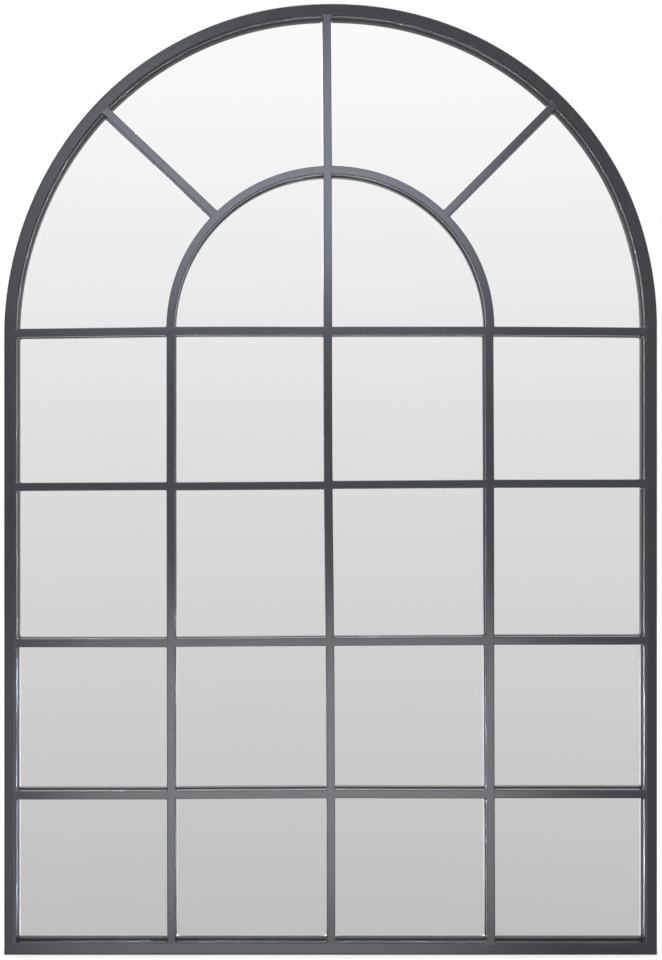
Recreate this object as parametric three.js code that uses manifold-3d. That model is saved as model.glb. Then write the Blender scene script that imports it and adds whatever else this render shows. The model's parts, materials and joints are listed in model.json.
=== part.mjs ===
// Arched window mirror: a hoop of box section closed by a bottom rail, a welded lattice of
// square bar in front of one mirror sheet, and a board that clips hold in from behind.
//
// Millimetres, +Z up. The front faces -Y and the wall side faces +Y. The origin lies under the
// middle of the bottom rail, halfway between the front face and the wall bumpers.

import * as THREE from 'three';
import * as BufferGeometryUtils from 'three/addons/utils/BufferGeometryUtils.js';
import Module from 'manifold-3d';

const wasm = await Module();
wasm.setup();

// ---------------------------------------------------------------- driving dimensions

// Outline
const outerWidth = 800;
const springHeight = 765; // the stiles end here and the half-round arch begins
const columnCount = 4;
const rowCount = 4;
const fanAngles = [45, 90, 135]; // degrees from +X, spokes between the two arches

// Frame, box section
const frameFace = 15;
const frameWall = 1.5;
const frameCorner = 2;

// Lattice, square bar
const barFace = 10;
const barDepth = 10;
const barCorner = 0.8;
const weldGap = 0.3; // root gap where a straight end meets a bent length

// Mirror sheet and what packs it
const glassThickness = 5;
const glassClearance = 1;
const blockHeight = 2;
const blockLength = 60;
const tapeThickness = 1;
const tapeWidth = 20;
const tapeMargin = 60; // from the edge of the glass to the end of a strip
const boardThickness = 4;
const boardClearance = 1.5;
const boardRecess = 5; // from the back of the board to the back of the frame

// Offset clips that press the board forward
const clipThickness = 1.5;
const clipWidth = 14;
const clipBend = 1.2; // inside radius
const clipInset = 3; // from the frame's outer edge to the end of the foot
const clipGap = 0.5; // between the frame's inner edge and the leg
const clipTongue = 12; // flat length on the board
const clipHeights = [130, 500]; // on both stiles
const clipAngles = [40, 90, 140]; // on the arch, degrees from +X

// Screws of the clips and hangers
const screwShank = 3.5;
const screwLength = 9.5;
const screwTip = 3;
const screwHead = 6.8;
const screwHeadHeight = 2.2;
const screwClearance = 0.3; // round the shank

// Hangers: a strap with a rolled eye, and a ring that swings in it
const hangerDrop = 45; // from the spring line down to the ring's axis
const strapWidth = 9;
const strapThickness = 1.5;
const strapScrewPitch = 13;
const strapEnd = 7; // from the lower screw to the rounded end
const strapScrewGap = 1.6; // from the hanging ring to the upper screw's head
const eyeClearance = 0.4; // round the wire
const eyeSideClearance = 0.5;
const eyeAngle = 285; // how far the strap rolls round the wire, degrees
const ringWire = 2;
const ringLength = 14; // from the axis to the middle of the wire at the far end
const ringBend = 1.5; // middle radius of the two tight bends

// Wall bumpers
const bumperDiameter = 11;
const bumperHeight = 6.5;
const bumperRound = 1.2;
const bumperFoot = 35; // height of the lower pair
const bumperAngles = [60, 120]; // the upper pair on the arch, degrees from +X

// Facets of the half rounds
const hoopSteps = 56;
const innerArchSteps = 40;

// ---------------------------------------------------------------- derived sizes

const outerRadius = outerWidth / 2;
const frameMiddle = frameFace / 2;
const innerEdgeRadius = outerRadius - frameFace;
const innerWidth = outerWidth - 2 * frameFace;
const columnPitch = (outerWidth - frameFace) / columnCount;
const rowPitch = (springHeight - frameMiddle) / rowCount;
const innerArchRadius = columnPitch; // middle of the bar: its feet stand over the side mullions
const halfBar = barFace / 2;

const frameDepth = barDepth + glassThickness + tapeThickness + boardThickness + boardRecess;
const frontY = -(frameDepth + bumperHeight) / 2;
const glassFrontY = frontY + barDepth;
const glassBackY = glassFrontY + glassThickness;
const boardFrontY = glassBackY + tapeThickness;
const boardBackY = boardFrontY + boardThickness;
const frameBackY = frontY + frameDepth;

const glassFoot = frameFace + blockHeight;
const springBarFoot = springHeight - halfBar;
const springBarTop = springHeight + halfBar;

// Straight ends keep their gap to the flats of the faceted half rounds
const hoopFlatRadius = innerEdgeRadius * Math.cos(Math.PI / hoopSteps / 2);
const innerArchFlatRadius = (innerArchRadius - halfBar) * Math.cos(Math.PI / innerArchSteps / 2);

const eyeRadius = ringWire / 2 + eyeClearance;
const eyeMiddleRadius = eyeRadius + strapThickness / 2;
const ringAxisHeight = springHeight - hangerDrop;
const ringAxisY = frameBackY + strapThickness + eyeRadius;
const ringHalfWidth = strapWidth / 2 + eyeSideClearance + ringWire / 2;
const upperStrapScrew = ringLength + ringWire / 2 + strapScrewGap + screwHead / 2;
const strapScrews = [upperStrapScrew, upperStrapScrew + strapScrewPitch]; // below the axis
const strapLength = upperStrapScrew + strapScrewPitch + strapEnd;

const clipDrop = frameBackY - boardBackY;
const clipMiddleBend = Math.min(clipBend + clipThickness / 2, clipDrop / 2);

// ---------------------------------------------------------------- materials

function material(color, roughness, metalness) {
  return new THREE.MeshStandardMaterial({ color, roughness, metalness });
}

const graphitePaint = material(0x4d4f53, 0.45, 0.4);
const silveredGlass = material(0xdfe3e3, 0.03, 1);
const blackRubber = material(0x1b1b1c, 0.85, 0);
const foam = material(0xe9e7e0, 0.9, 0);
const fibreboard = material(0x8a6a48, 0.85, 0);
const zincPlate = material(0xb9bcc0, 0.35, 0.9);

const mirror = new THREE.Group();

function addPiece(name, geometry, surface, parent = mirror) {
  const mesh = new THREE.Mesh(geometry, surface);
  mesh.name = name;
  parent.add(mesh);
  return mesh;
}

// ---------------------------------------------------------------- sections and sweeps

// A rectangle from (0, 0) to (width, depth) with round corners, as [across, deep] points.
function roundedSection(width, depth, radius, cornerSteps) {
  const corners = [
    [width - radius, radius, -90],
    [width - radius, depth - radius, 0],
    [radius, depth - radius, 90],
    [radius, radius, 180],
  ];
  const points = [];
  for (const [across, deep, startAngle] of corners) {
    for (let step = 0; step <= cornerSteps; step += 1) {
      const angle = THREE.MathUtils.degToRad(startAngle + (90 * step) / cornerSteps);
      points.push([across + radius * Math.cos(angle), deep + radius * Math.sin(angle)]);
    }
  }
  return points;
}

function roundSection(radius, sides) {
  const points = [];
  for (let side = 0; side < sides; side += 1) {
    const angle = (2 * Math.PI * side) / sides;
    points.push([radius * Math.cos(angle), radius * Math.sin(angle)]);
  }
  return points;
}

// Sweeps a section through stations. A station is a function that places a section point
// (across, deep) in space. With a hole in the section the sweep is a tube with open ends, and a
// closed sweep joins its last station to its first.
function sweep(section, stations, { hole = null, closed = false } = {}) {
  const loops = hole ? [section, hole] : [section];
  const points = loops.flat();
  const ringSize = points.length;
  const positions = [];
  for (const station of stations) {
    for (const [across, deep] of points) {
      positions.push(...station(across, deep));
    }
  }
  const indices = [];
  const spans = closed ? stations.length : stations.length - 1;
  for (let span = 0; span < spans; span += 1) {
    const near = span * ringSize;
    const far = ((span + 1) % stations.length) * ringSize;
    let loopStart = 0;
    loops.forEach((loop, loopIndex) => {
      for (let corner = 0; corner < loop.length; corner += 1) {
        const a = loopStart + corner;
        const b = loopStart + ((corner + 1) % loop.length);
        const quad = [near + a, near + b, far + b, near + a, far + b, far + a];
        indices.push(...(loopIndex === 0 ? quad : quad.reverse()));
      }
      loopStart += loop.length;
    });
  }
  if (!closed) {
    const last = (stations.length - 1) * ringSize;
    const outline = section.map(([across, deep]) => new THREE.Vector2(across, deep));
    const inner = hole ? [hole.map(([across, deep]) => new THREE.Vector2(across, deep))] : [];
    for (const [a, b, c] of THREE.ShapeUtils.triangulateShape(outline, inner)) {
      indices.push(a, c, b);
      indices.push(last + a, last + b, last + c);
    }
  }
  const geometry = new THREE.BufferGeometry();
  geometry.setAttribute('position', new THREE.Float32BufferAttribute(positions, 3));
  geometry.setIndex(indices);
  return facingOut(geometry);
}

// Turns every face round where the closed surface holds a negative volume.
function facingOut(geometry) {
  const position = geometry.getAttribute('position');
  const index = geometry.getIndex();
  const [a, b, c] = [new THREE.Vector3(), new THREE.Vector3(), new THREE.Vector3()];
  let volume = 0;
  for (let face = 0; face < index.count; face += 3) {
    a.fromBufferAttribute(position, index.getX(face));
    b.fromBufferAttribute(position, index.getX(face + 1));
    c.fromBufferAttribute(position, index.getX(face + 2));
    volume += a.dot(b.cross(c));
  }
  if (volume < 0) {
    index.array.reverse();
  }
  geometry.computeVertexNormals();
  return geometry;
}

// ---------------------------------------------------------------- joins and cuts

function toSolid(geometry) {
  const bare = geometry.clone();
  bare.deleteAttribute('normal');
  bare.deleteAttribute('uv');
  const merged = BufferGeometryUtils.mergeVertices(bare, 1e-4);
  return new wasm.Manifold(
    new wasm.Mesh({
      numProp: 3,
      vertProperties: merged.getAttribute('position').array,
      triVerts: Uint32Array.from(merged.getIndex().array),
    }),
  );
}

function toGeometry(solid) {
  const mesh = solid.getMesh();
  const geometry = new THREE.BufferGeometry();
  geometry.setAttribute('position', new THREE.Float32BufferAttribute(mesh.vertProperties, 3));
  geometry.setIndex(Array.from(mesh.triVerts));
  geometry.computeVertexNormals();
  return geometry;
}

function cut(geometry, cutters) {
  let solid = toSolid(geometry);
  for (const cutter of cutters) {
    solid = solid.subtract(toSolid(cutter));
  }
  return toGeometry(solid);
}

function join(first, second) {
  return toGeometry(toSolid(first).add(toSolid(second)));
}

// ---------------------------------------------------------------- places on the frame

function onCircle(radius, angle) {
  const turn = THREE.MathUtils.degToRad(angle);
  return [radius * Math.cos(turn), springHeight + radius * Math.sin(turn)];
}

// A place on the frame's outer edge, with the angle that the inward direction is opposite to.
function stilePlace(side, height) {
  return { x: side * outerRadius, z: height, angle: side > 0 ? 0 : 180 };
}

function archPlace(angle) {
  const [x, z] = onCircle(outerRadius, angle);
  return { x, z, angle };
}

const railPlace = { name: 'bottom', x: 0, z: 0, angle: 270 };

// A group whose own X runs inward from the frame's outer edge, with Y still towards the wall.
function seatAt(place) {
  const seat = new THREE.Group();
  seat.position.set(place.x, 0, place.z);
  seat.rotation.y = Math.PI - THREE.MathUtils.degToRad(place.angle);
  mirror.add(seat);
  return seat;
}

const clipLevels = ['low', 'high'];
const clipSides = ['right', 'top', 'left'];
const clipPlaces = [
  ...clipHeights.map((height, i) => ({ name: `left_${clipLevels[i]}`, ...stilePlace(-1, height) })),
  ...clipHeights.map((height, i) => ({ name: `right_${clipLevels[i]}`, ...stilePlace(1, height) })),
  ...clipAngles.map((angle, i) => ({ name: `arch_${clipSides[i]}`, ...archPlace(angle) })),
  railPlace,
];
const hangerPlaces = [
  { side: 'left', ...stilePlace(-1, ringAxisHeight) },
  { side: 'right', ...stilePlace(1, ringAxisHeight) },
];

// A screw hole through the frame's back wall, `inward` from the outer edge at a place.
function backHole(place, inward, drop = 0) {
  const turn = THREE.MathUtils.degToRad(place.angle);
  const hole = new THREE.CylinderGeometry(
    screwShank / 2 + screwClearance,
    screwShank / 2 + screwClearance,
    2 * frameWall,
    16,
  );
  hole.translate(
    place.x - inward * Math.cos(turn),
    frameBackY - frameWall / 2,
    place.z - inward * Math.sin(turn) - drop,
  );
  return hole;
}

// ---------------------------------------------------------------- frame

const boxSection = roundedSection(frameFace, frameDepth, frameCorner, 3);
const boxHollow = roundedSection(
  frameFace - 2 * frameWall,
  frameDepth - 2 * frameWall,
  Math.max(frameCorner - frameWall, 0.1),
  1,
).map(([across, deep]) => [across + frameWall, deep + frameWall]);

// One length of box section: up the left stile, round the arch and down the right stile. Both
// feet are cut to the mitre, where a point stands as high as it lies inward.
function makeHoop() {
  const stations = [];
  stations.push((across, deep) => [-outerRadius + across, frontY + deep, across]);
  for (let step = 0; step <= hoopSteps; step += 1) {
    const angle = 180 - (180 * step) / hoopSteps;
    stations.push((across, deep) => {
      const [x, z] = onCircle(outerRadius - across, angle);
      return [x, frontY + deep, z];
    });
  }
  stations.push((across, deep) => [outerRadius - across, frontY + deep, across]);
  const holes = clipPlaces
    .filter((place) => place !== railPlace)
    .map((place) => backHole(place, frameMiddle));
  for (const place of hangerPlaces) {
    holes.push(...strapScrews.map((drop) => backHole(place, frameMiddle, drop)));
  }
  return cut(sweep(boxSection, stations, { hole: boxHollow }), holes);
}

function makeBottomRail() {
  const stations = [-1, 1].map((side) => (across, deep) => [
    side * (outerRadius - across),
    frontY + deep,
    across,
  ]);
  return cut(sweep(boxSection, stations, { hole: boxHollow }), [backHole(railPlace, frameMiddle)]);
}

addPiece('frame_hoop', makeHoop(), graphitePaint);
addPiece('bottom_rail', makeBottomRail(), graphitePaint);

// ---------------------------------------------------------------- lattice

const mullionLines = [];
for (let line = 1; line < columnCount; line += 1) {
  const offset = line - columnCount / 2;
  const side = offset < 0 ? 'left' : 'right';
  const distance = Math.ceil(Math.abs(offset));
  const sideName = distance > 1 ? `${side}_${distance}` : side;
  mullionLines.push({ name: offset === 0 ? 'centre' : sideName, x: offset * columnPitch });
}

const barSection = roundedSection(barFace, barDepth, barCorner, 2);

// A straight bar between two points of the front plane, each given as [x, z].
function straightBar([startX, startZ], [endX, endZ]) {
  const length = Math.hypot(endX - startX, endZ - startZ);
  const sideX = -(endZ - startZ) / length;
  const sideZ = (endX - startX) / length;
  const stations = [
    [startX, startZ],
    [endX, endZ],
  ].map(([x, z]) => (across, deep) => [
    x + (across - halfBar) * sideX,
    frontY + deep,
    z + (across - halfBar) * sideZ,
  ]);
  return sweep(barSection, stations);
}

// The inner arch is a half ring that stands on the spring bar with square feet.
function makeInnerArch() {
  const stations = [];
  const footStation = (side) => (across, deep) => [
    side * (innerArchRadius + halfBar - across),
    frontY + deep,
    springBarTop,
  ];
  stations.push(footStation(-1));
  const footAngle = THREE.MathUtils.radToDeg(Math.asin(barFace / innerArchRadius));
  for (let step = 0; step <= innerArchSteps; step += 1) {
    const angle = 180 - footAngle - ((180 - 2 * footAngle) * step) / innerArchSteps;
    stations.push((across, deep) => {
      const [x, z] = onCircle(innerArchRadius + halfBar - across, angle);
      return [x, frontY + deep, z];
    });
  }
  stations.push(footStation(1));
  return sweep(barSection, stations);
}

// The spring bar runs from stile to stile at the foot of the arch.
const springBarEnd = hoopFlatRadius - weldGap;
addPiece(
  'spring_bar',
  straightBar([-springBarEnd, springHeight], [springBarEnd, springHeight]),
  graphitePaint,
);
addPiece('inner_arch', makeInnerArch(), graphitePaint);

// Mullions run through from the bottom rail to the spring bar.
for (const { name, x } of mullionLines) {
  addPiece(`mullion_${name}`, straightBar([x, frameFace], [x, springBarFoot]), graphitePaint);
}

// The crown post divides the inner arch, and the spokes fan out from it to the hoop.
const crownPostTop = springHeight + innerArchFlatRadius - weldGap;
addPiece('crown_post', straightBar([0, springBarTop], [0, crownPostTop]), graphitePaint);
const spokeNames = ['spoke_right', 'spoke_centre', 'spoke_left'];
fanAngles.forEach((angle, index) => {
  const foot = onCircle(innerArchRadius + halfBar + weldGap, angle);
  const head = onCircle(hoopFlatRadius - weldGap, angle);
  addPiece(spokeNames[index], straightBar(foot, head), graphitePaint);
});

// Transoms are short lengths between the stiles and the mullions, row by row from the bottom.
for (let row = 1; row < rowCount; row += 1) {
  const z = frameMiddle + row * rowPitch;
  for (let column = 0; column < columnCount; column += 1) {
    const middle = column + 0.5 - columnCount / 2;
    const side = middle < 0 ? 'left' : 'right';
    const place = `${side}_${Math.ceil(Math.abs(middle))}`;
    const leftHalf = column === 0 ? frameMiddle : halfBar;
    const rightHalf = column === columnCount - 1 ? frameMiddle : halfBar;
    const start = [(middle - 0.5) * columnPitch + leftHalf, z];
    const end = [(middle + 0.5) * columnPitch - rightHalf, z];
    addPiece(`transom_${row}_${place}`, straightBar(start, end), graphitePaint);
  }
}

// ---------------------------------------------------------------- mirror, packing and board

// An arched sheet that follows the frame's inner edge at a clearance, with a straight foot.
function archedSheet(clearance, foot, thickness, frontFaceY) {
  const radius = innerEdgeRadius - clearance;
  const outline = new THREE.Shape();
  outline.moveTo(-radius, foot);
  outline.lineTo(radius, foot);
  outline.lineTo(radius, springHeight);
  outline.absarc(0, springHeight, radius, 0, Math.PI, false);
  outline.lineTo(-radius, foot);
  const sheet = new THREE.ExtrudeGeometry(outline, {
    depth: thickness,
    bevelEnabled: false,
    curveSegments: hoopSteps,
  });
  sheet.rotateX(Math.PI / 2);
  sheet.translate(0, frontFaceY + thickness, 0);
  return sheet;
}

addPiece(
  'mirror_plate',
  archedSheet(glassClearance, glassFoot, glassThickness, glassFrontY),
  silveredGlass,
);
addPiece(
  'backing_board',
  archedSheet(boardClearance, frameFace + boardClearance, boardThickness, boardFrontY),
  fibreboard,
);

// Two blocks carry the glass at its quarter points.
for (const [name, side] of [['setting_block_left', -1], ['setting_block_right', 1]]) {
  const block = new THREE.BoxGeometry(blockLength, glassThickness, blockHeight);
  block.translate((side * innerWidth) / 4, glassFrontY + glassThickness / 2, frameFace + blockHeight / 2);
  addPiece(name, block, blackRubber);
}

// Strips of foam tape between the glass and the board, one behind each mullion.
for (const { name, x } of mullionLines) {
  const sheetRadius = innerEdgeRadius - glassClearance;
  const sheetTop = springHeight + Math.sqrt(sheetRadius ** 2 - x ** 2);
  const foot = glassFoot + tapeMargin;
  const length = sheetTop - tapeMargin - foot;
  const strip = new THREE.BoxGeometry(tapeWidth, tapeThickness, length);
  strip.translate(x, glassBackY + tapeThickness / 2, foot + length / 2);
  addPiece(`foam_tape_${name}`, strip, foam);
}

// ---------------------------------------------------------------- clips and screws

// Stations along a bent strip in the plane of its own X and Y, heading along X at first. A move
// goes straight ahead, or turns on a radius in short steps.
function stripStations(start, moves) {
  const stepAngle = 22.5;
  const stations = [];
  let [x, y] = start;
  let heading = 0;
  const push = () => {
    const [px, py, turn] = [x, y, heading];
    stations.push((along, lift) => [px - lift * Math.sin(turn), py + lift * Math.cos(turn), along]);
  };
  push();
  const advance = (distance) => {
    x += distance * Math.cos(heading);
    y += distance * Math.sin(heading);
  };
  for (const { ahead = 0, turn = 0, radius = 0 } of moves) {
    if (ahead > 0) {
      advance(ahead);
      push();
    }
    const steps = Math.round(Math.abs(turn) / stepAngle);
    const halfStep = THREE.MathUtils.degToRad(turn) / steps / 2;
    for (let step = 0; step < steps; step += 1) {
      heading += halfStep;
      advance(2 * radius * Math.sin(Math.abs(halfStep)));
      heading += halfStep;
      push();
    }
  }
  return stations;
}

// A flat section of strip, centred on its middle line: [along the width, through the metal].
function stripSection(width, thickness) {
  return [
    [-width / 2, -thickness / 2],
    [width / 2, -thickness / 2],
    [width / 2, thickness / 2],
    [-width / 2, thickness / 2],
  ];
}

// The clip's foot lies on the frame's back face, its leg drops past the inner edge and its
// tongue lies on the board.
function makeClip() {
  const footLength = frameFace + clipGap + clipThickness / 2 - clipMiddleBend - clipInset;
  const stations = stripStations(
    [clipInset, frameBackY + clipThickness / 2],
    [
      { ahead: footLength },
      { turn: -90, radius: clipMiddleBend },
      { ahead: clipDrop - 2 * clipMiddleBend },
      { turn: 90, radius: clipMiddleBend },
      { ahead: clipTongue },
    ],
  );
  const strip = sweep(stripSection(clipWidth, clipThickness), stations);
  const hole = new THREE.CylinderGeometry(
    screwShank / 2 + screwClearance,
    screwShank / 2 + screwClearance,
    2 * clipThickness,
    16,
  );
  hole.translate(frameMiddle, frameBackY + clipThickness / 2, 0);
  return cut(strip, [hole]);
}

// A pan-head screw on its own axis: the head rests on y = 0 and the shank runs towards -Y.
function makeScrew() {
  const profile = [
    [0, -screwLength],
    [screwShank / 2, screwTip - screwLength],
    [screwShank / 2, 0],
    [screwHead / 2, 0],
    [screwHead / 2, screwHeadHeight * 0.45],
    [screwHead * 0.41, screwHeadHeight * 0.83],
    [screwHead * 0.25, screwHeadHeight],
    [0, screwHeadHeight],
  ].map(([radius, y]) => new THREE.Vector2(radius, y));
  return new THREE.LatheGeometry(profile, 16);
}

const clipGeometry = makeClip();
const screwGeometry = makeScrew();
for (const place of clipPlaces) {
  const seat = seatAt(place);
  addPiece(`board_clip_${place.name}`, clipGeometry, zincPlate, seat);
  const screw = addPiece(`clip_screw_${place.name}`, screwGeometry, zincPlate, seat);
  screw.position.set(frameMiddle, frameBackY + clipThickness, 0);
}

// ---------------------------------------------------------------- hangers

// The strap hangs down from its eye. In its own frame Z runs along the frame's height, and its
// origin lies on the ring's axis.
function makeStrap() {
  const flat = new THREE.Shape();
  const endCentre = strapWidth / 2 - strapLength;
  flat.moveTo(-strapWidth / 2, 0);
  flat.lineTo(-strapWidth / 2, endCentre);
  flat.absarc(0, endCentre, strapWidth / 2, Math.PI, 2 * Math.PI, false);
  flat.lineTo(strapWidth / 2, 0);
  flat.lineTo(-strapWidth / 2, 0);
  for (const drop of strapScrews) {
    const hole = new THREE.Path();
    hole.absarc(0, -drop, screwShank / 2 + screwClearance, 0, 2 * Math.PI, true);
    flat.holes.push(hole);
  }
  const plate = new THREE.ExtrudeGeometry(flat, {
    depth: strapThickness,
    bevelEnabled: false,
    curveSegments: 8,
  });
  plate.rotateX(Math.PI / 2);
  plate.translate(0, -eyeRadius, 0);
  const eyeSteps = Math.round(eyeAngle / 20);
  const rollStations = [];
  for (let step = -1; step <= eyeSteps; step += 1) {
    const turn = THREE.MathUtils.degToRad((eyeAngle * Math.max(step, 0)) / eyeSteps);
    const dip = step < 0 ? -eyeMiddleRadius : 0;
    rollStations.push((across, lift) => [
      across,
      -(eyeMiddleRadius + lift) * Math.cos(turn),
      (eyeMiddleRadius + lift) * Math.sin(turn) + dip,
    ]);
  }
  return join(plate, sweep(stripSection(strapWidth, strapThickness), rollStations));
}

// The ring is a closed D: a straight run through the eye, two tight bends, two short sides and
// a half round. Its origin lies on the eye's axis.
function makeRing() {
  const farRadius = ringHalfWidth;
  const sideEnd = farRadius - ringLength;
  const arcs = [
    { x: ringHalfWidth - ringBend, z: -ringBend, radius: ringBend, from: 90, to: 0, steps: 4 },
    { x: 0, z: sideEnd, radius: farRadius, from: 0, to: -180, steps: 12 },
    { x: ringBend - ringHalfWidth, z: -ringBend, radius: ringBend, from: 180, to: 90, steps: 4 },
  ];
  const stations = [];
  for (const arc of arcs) {
    for (let step = 0; step <= arc.steps; step += 1) {
      const angle = arc.from + ((arc.to - arc.from) * step) / arc.steps;
      const turn = THREE.MathUtils.degToRad(angle);
      stations.push((out, deep) => [
        arc.x + (arc.radius + out) * Math.cos(turn),
        deep,
        arc.z + (arc.radius + out) * Math.sin(turn),
      ]);
    }
  }
  return sweep(roundSection(ringWire / 2, 10), stations, { closed: true });
}

const strapGeometry = makeStrap();
const ringGeometry = makeRing();
for (const place of hangerPlaces) {
  const middleX = place.x - Math.sign(place.x) * frameMiddle;
  const strap = addPiece(`hanger_strap_${place.side}`, strapGeometry, zincPlate);
  strap.position.set(middleX, ringAxisY, ringAxisHeight);
  const ring = addPiece(`hanger_ring_${place.side}`, ringGeometry, zincPlate);
  ring.position.set(middleX, ringAxisY, ringAxisHeight);
  strapScrews.forEach((drop, index) => {
    const screw = addPiece(`strap_screw_${place.side}_${index + 1}`, screwGeometry, zincPlate);
    screw.position.set(middleX, frameBackY + strapThickness, ringAxisHeight - drop);
  });
}

// ---------------------------------------------------------------- wall bumpers

function makeBumper() {
  const rim = bumperDiameter / 2;
  const profile = [
    [0, 0],
    [rim, 0],
    [rim, bumperHeight - bumperRound],
    [rim - bumperRound * 0.3, bumperHeight - bumperRound * 0.3],
    [rim - bumperRound, bumperHeight],
    [0, bumperHeight],
  ].map(([radius, y]) => new THREE.Vector2(radius, y));
  return new THREE.LatheGeometry(profile, 20);
}

const bumperGeometry = makeBumper();
const bumperPlaces = [
  { name: 'wall_bumper_low_left', ...stilePlace(-1, bumperFoot) },
  { name: 'wall_bumper_low_right', ...stilePlace(1, bumperFoot) },
  { name: 'wall_bumper_high_right', ...archPlace(bumperAngles[0]) },
  { name: 'wall_bumper_high_left', ...archPlace(bumperAngles[1]) },
];
for (const place of bumperPlaces) {
  const bumper = addPiece(place.name, bumperGeometry, blackRubber, seatAt(place));
  bumper.position.set(frameMiddle, frameBackY, 0);
}

export default mirror;
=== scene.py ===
"""Arched window mirror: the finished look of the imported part, in the part's own frame.

Metres, +Z up. The front faces -Y and the wall side faces +Y. Every piece stands where its CAD
node stands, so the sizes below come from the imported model.
"""

import json
import math

import bmesh
import bpy
import numpy as np
from bpy.props import FloatProperty, FloatVectorProperty, PointerProperty
from mathutils import Matrix, Vector

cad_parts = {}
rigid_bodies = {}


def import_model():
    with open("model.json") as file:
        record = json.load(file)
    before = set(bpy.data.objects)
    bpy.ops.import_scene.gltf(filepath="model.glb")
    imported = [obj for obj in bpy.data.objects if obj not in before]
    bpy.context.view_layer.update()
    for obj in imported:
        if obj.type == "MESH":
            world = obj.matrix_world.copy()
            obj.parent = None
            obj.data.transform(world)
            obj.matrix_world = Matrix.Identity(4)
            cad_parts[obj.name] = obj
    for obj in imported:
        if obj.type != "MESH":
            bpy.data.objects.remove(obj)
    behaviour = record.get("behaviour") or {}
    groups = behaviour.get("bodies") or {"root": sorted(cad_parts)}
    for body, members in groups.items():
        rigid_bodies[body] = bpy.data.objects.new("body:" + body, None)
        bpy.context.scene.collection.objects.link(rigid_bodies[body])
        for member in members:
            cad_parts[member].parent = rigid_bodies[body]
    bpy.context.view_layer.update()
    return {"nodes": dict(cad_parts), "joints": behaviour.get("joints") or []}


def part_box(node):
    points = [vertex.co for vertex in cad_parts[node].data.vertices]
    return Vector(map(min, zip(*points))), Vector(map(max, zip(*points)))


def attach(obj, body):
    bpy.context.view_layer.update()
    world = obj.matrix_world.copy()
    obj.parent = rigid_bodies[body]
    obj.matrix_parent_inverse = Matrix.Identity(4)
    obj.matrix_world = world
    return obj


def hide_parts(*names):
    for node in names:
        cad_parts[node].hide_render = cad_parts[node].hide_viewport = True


bl_info = {
    "name": "Arched Window Mirror",
    "version": (1, 0, 0),
    "blender": (4, 5, 0),
    "location": "View3D > Sidebar > Window Mirror",
    "description": "Builds the finished pieces of an arched window mirror on its packed frame",
    "category": "Object",
}

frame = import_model()

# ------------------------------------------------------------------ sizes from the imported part

MM = 0.001

HOOP_LOW, HOOP_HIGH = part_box("frame_hoop")
OUTER_RADIUS = HOOP_HIGH.x
SPRING = HOOP_HIGH.z - OUTER_RADIUS
FRONT = HOOP_LOW.y
FRAME_BACK = HOOP_HIGH.y
FRAME_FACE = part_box("bottom_rail")[1].z
FRAME_MIDDLE = FRAME_FACE / 2
INNER_RADIUS = OUTER_RADIUS - FRAME_FACE

BAR_LOW, BAR_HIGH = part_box("mullion_centre")
BAR = BAR_HIGH.x - BAR_LOW.x
HALF_BAR = BAR / 2
BAR_DEPTH = BAR_HIGH.y - BAR_LOW.y
COLUMN = sum(corner.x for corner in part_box("mullion_right")) / 2
ROWS = [sum(corner.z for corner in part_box(f"transom_{row}_left_1")) / 2 for row in (1, 2, 3)]
ARCH_RADIUS = COLUMN

# The bays of a row of level bars from left to right, and the uprights on both sides of them.
BAYS = ("left_2", "left_1", "right_1", "right_2")
UPRIGHTS = (None, "left", "centre", "right", None)

GLASS_LOW, GLASS_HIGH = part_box("mirror_plate")
BOARD_LOW, BOARD_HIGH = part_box("backing_board")
STRAP_LOW, STRAP_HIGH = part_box("hanger_strap_left")
RING_LOW, RING_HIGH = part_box("hanger_ring_left")
CLIP_LOW, CLIP_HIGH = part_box("board_clip_right_low")
SCREW_LOW, SCREW_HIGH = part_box("clip_screw_right_low")
BUMPER_LOW, BUMPER_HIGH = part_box("wall_bumper_low_right")
RING_AXIS = {joint["child"]: Vector(joint["pos_m"]) for joint in frame["joints"]}

# ------------------------------------------------------------------ how the maker's hand shows

# The welded lattice isn't quite true. Each table says how far a bar lies from its drawn place,
# in millimetres: outward for the hoop and arch by degrees from +X, up for the level bars and to
# the right for the uprights by millimetres along them, and clockwise for a spoke's foot and head.
HOOP_SPREAD = [
    (0, 0.0), (14, 1.3), (26, 2.9), (38, 3.4), (50, 3.3), (62, 2.6), (74, 1.4), (90, 0.0),
    (105, 0.5), (122, 0.3), (134, 0.0), (146, -1.1), (158, -1.6), (170, -1.1), (180, 0.0),
]
ARCH_SPREAD = [
    (0, -0.7), (15, 0.0), (30, 0.5), (60, 0.5), (90, 0.1), (120, 0.2), (150, 0.4), (180, 0.0),
]
SPRING_LIFT = [
    (-400, -3.5), (-300, -2.3), (-196, -0.9), (0, -0.6), (196, -0.6), (300, -1.1), (400, -2.0),
]
ROW_LIFTS = [
    [(-1.6, -1.5), (-1.0, 0.0), (0.1, -0.4), (0.0, 0.0)],
    [(-4.5, -4.5), (-4.0, -2.9), (-2.8, -1.9), (-1.5, -1.3)],
    [(-2.6, -1.6), (-1.9, -0.7), (0.0, 1.2), (1.3, 1.6)],
]
MULLION_LEANS = {
    "left": [(0, 1.2), (197, 0.9), (386, 0.6), (576, 0.3), (765, 0.4)],
    "centre": [(0, 0.7), (197, 0.4), (386, -0.6), (576, -2.5), (765, -3.2)],
    "right": [(0, 0.45), (197, -0.3), (386, -0.75), (576, -1.0), (765, -1.9)],
}
CROWN_LEAN = [(765, -3.1), (970, -3.6)]
SPOKE_DRIFTS = {
    "spoke_right": (45, -1.1, -1.4),
    "spoke_centre": (90, -3.3, -4.7),
    "spoke_left": (135, 0.3, -4.9),
}

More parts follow.
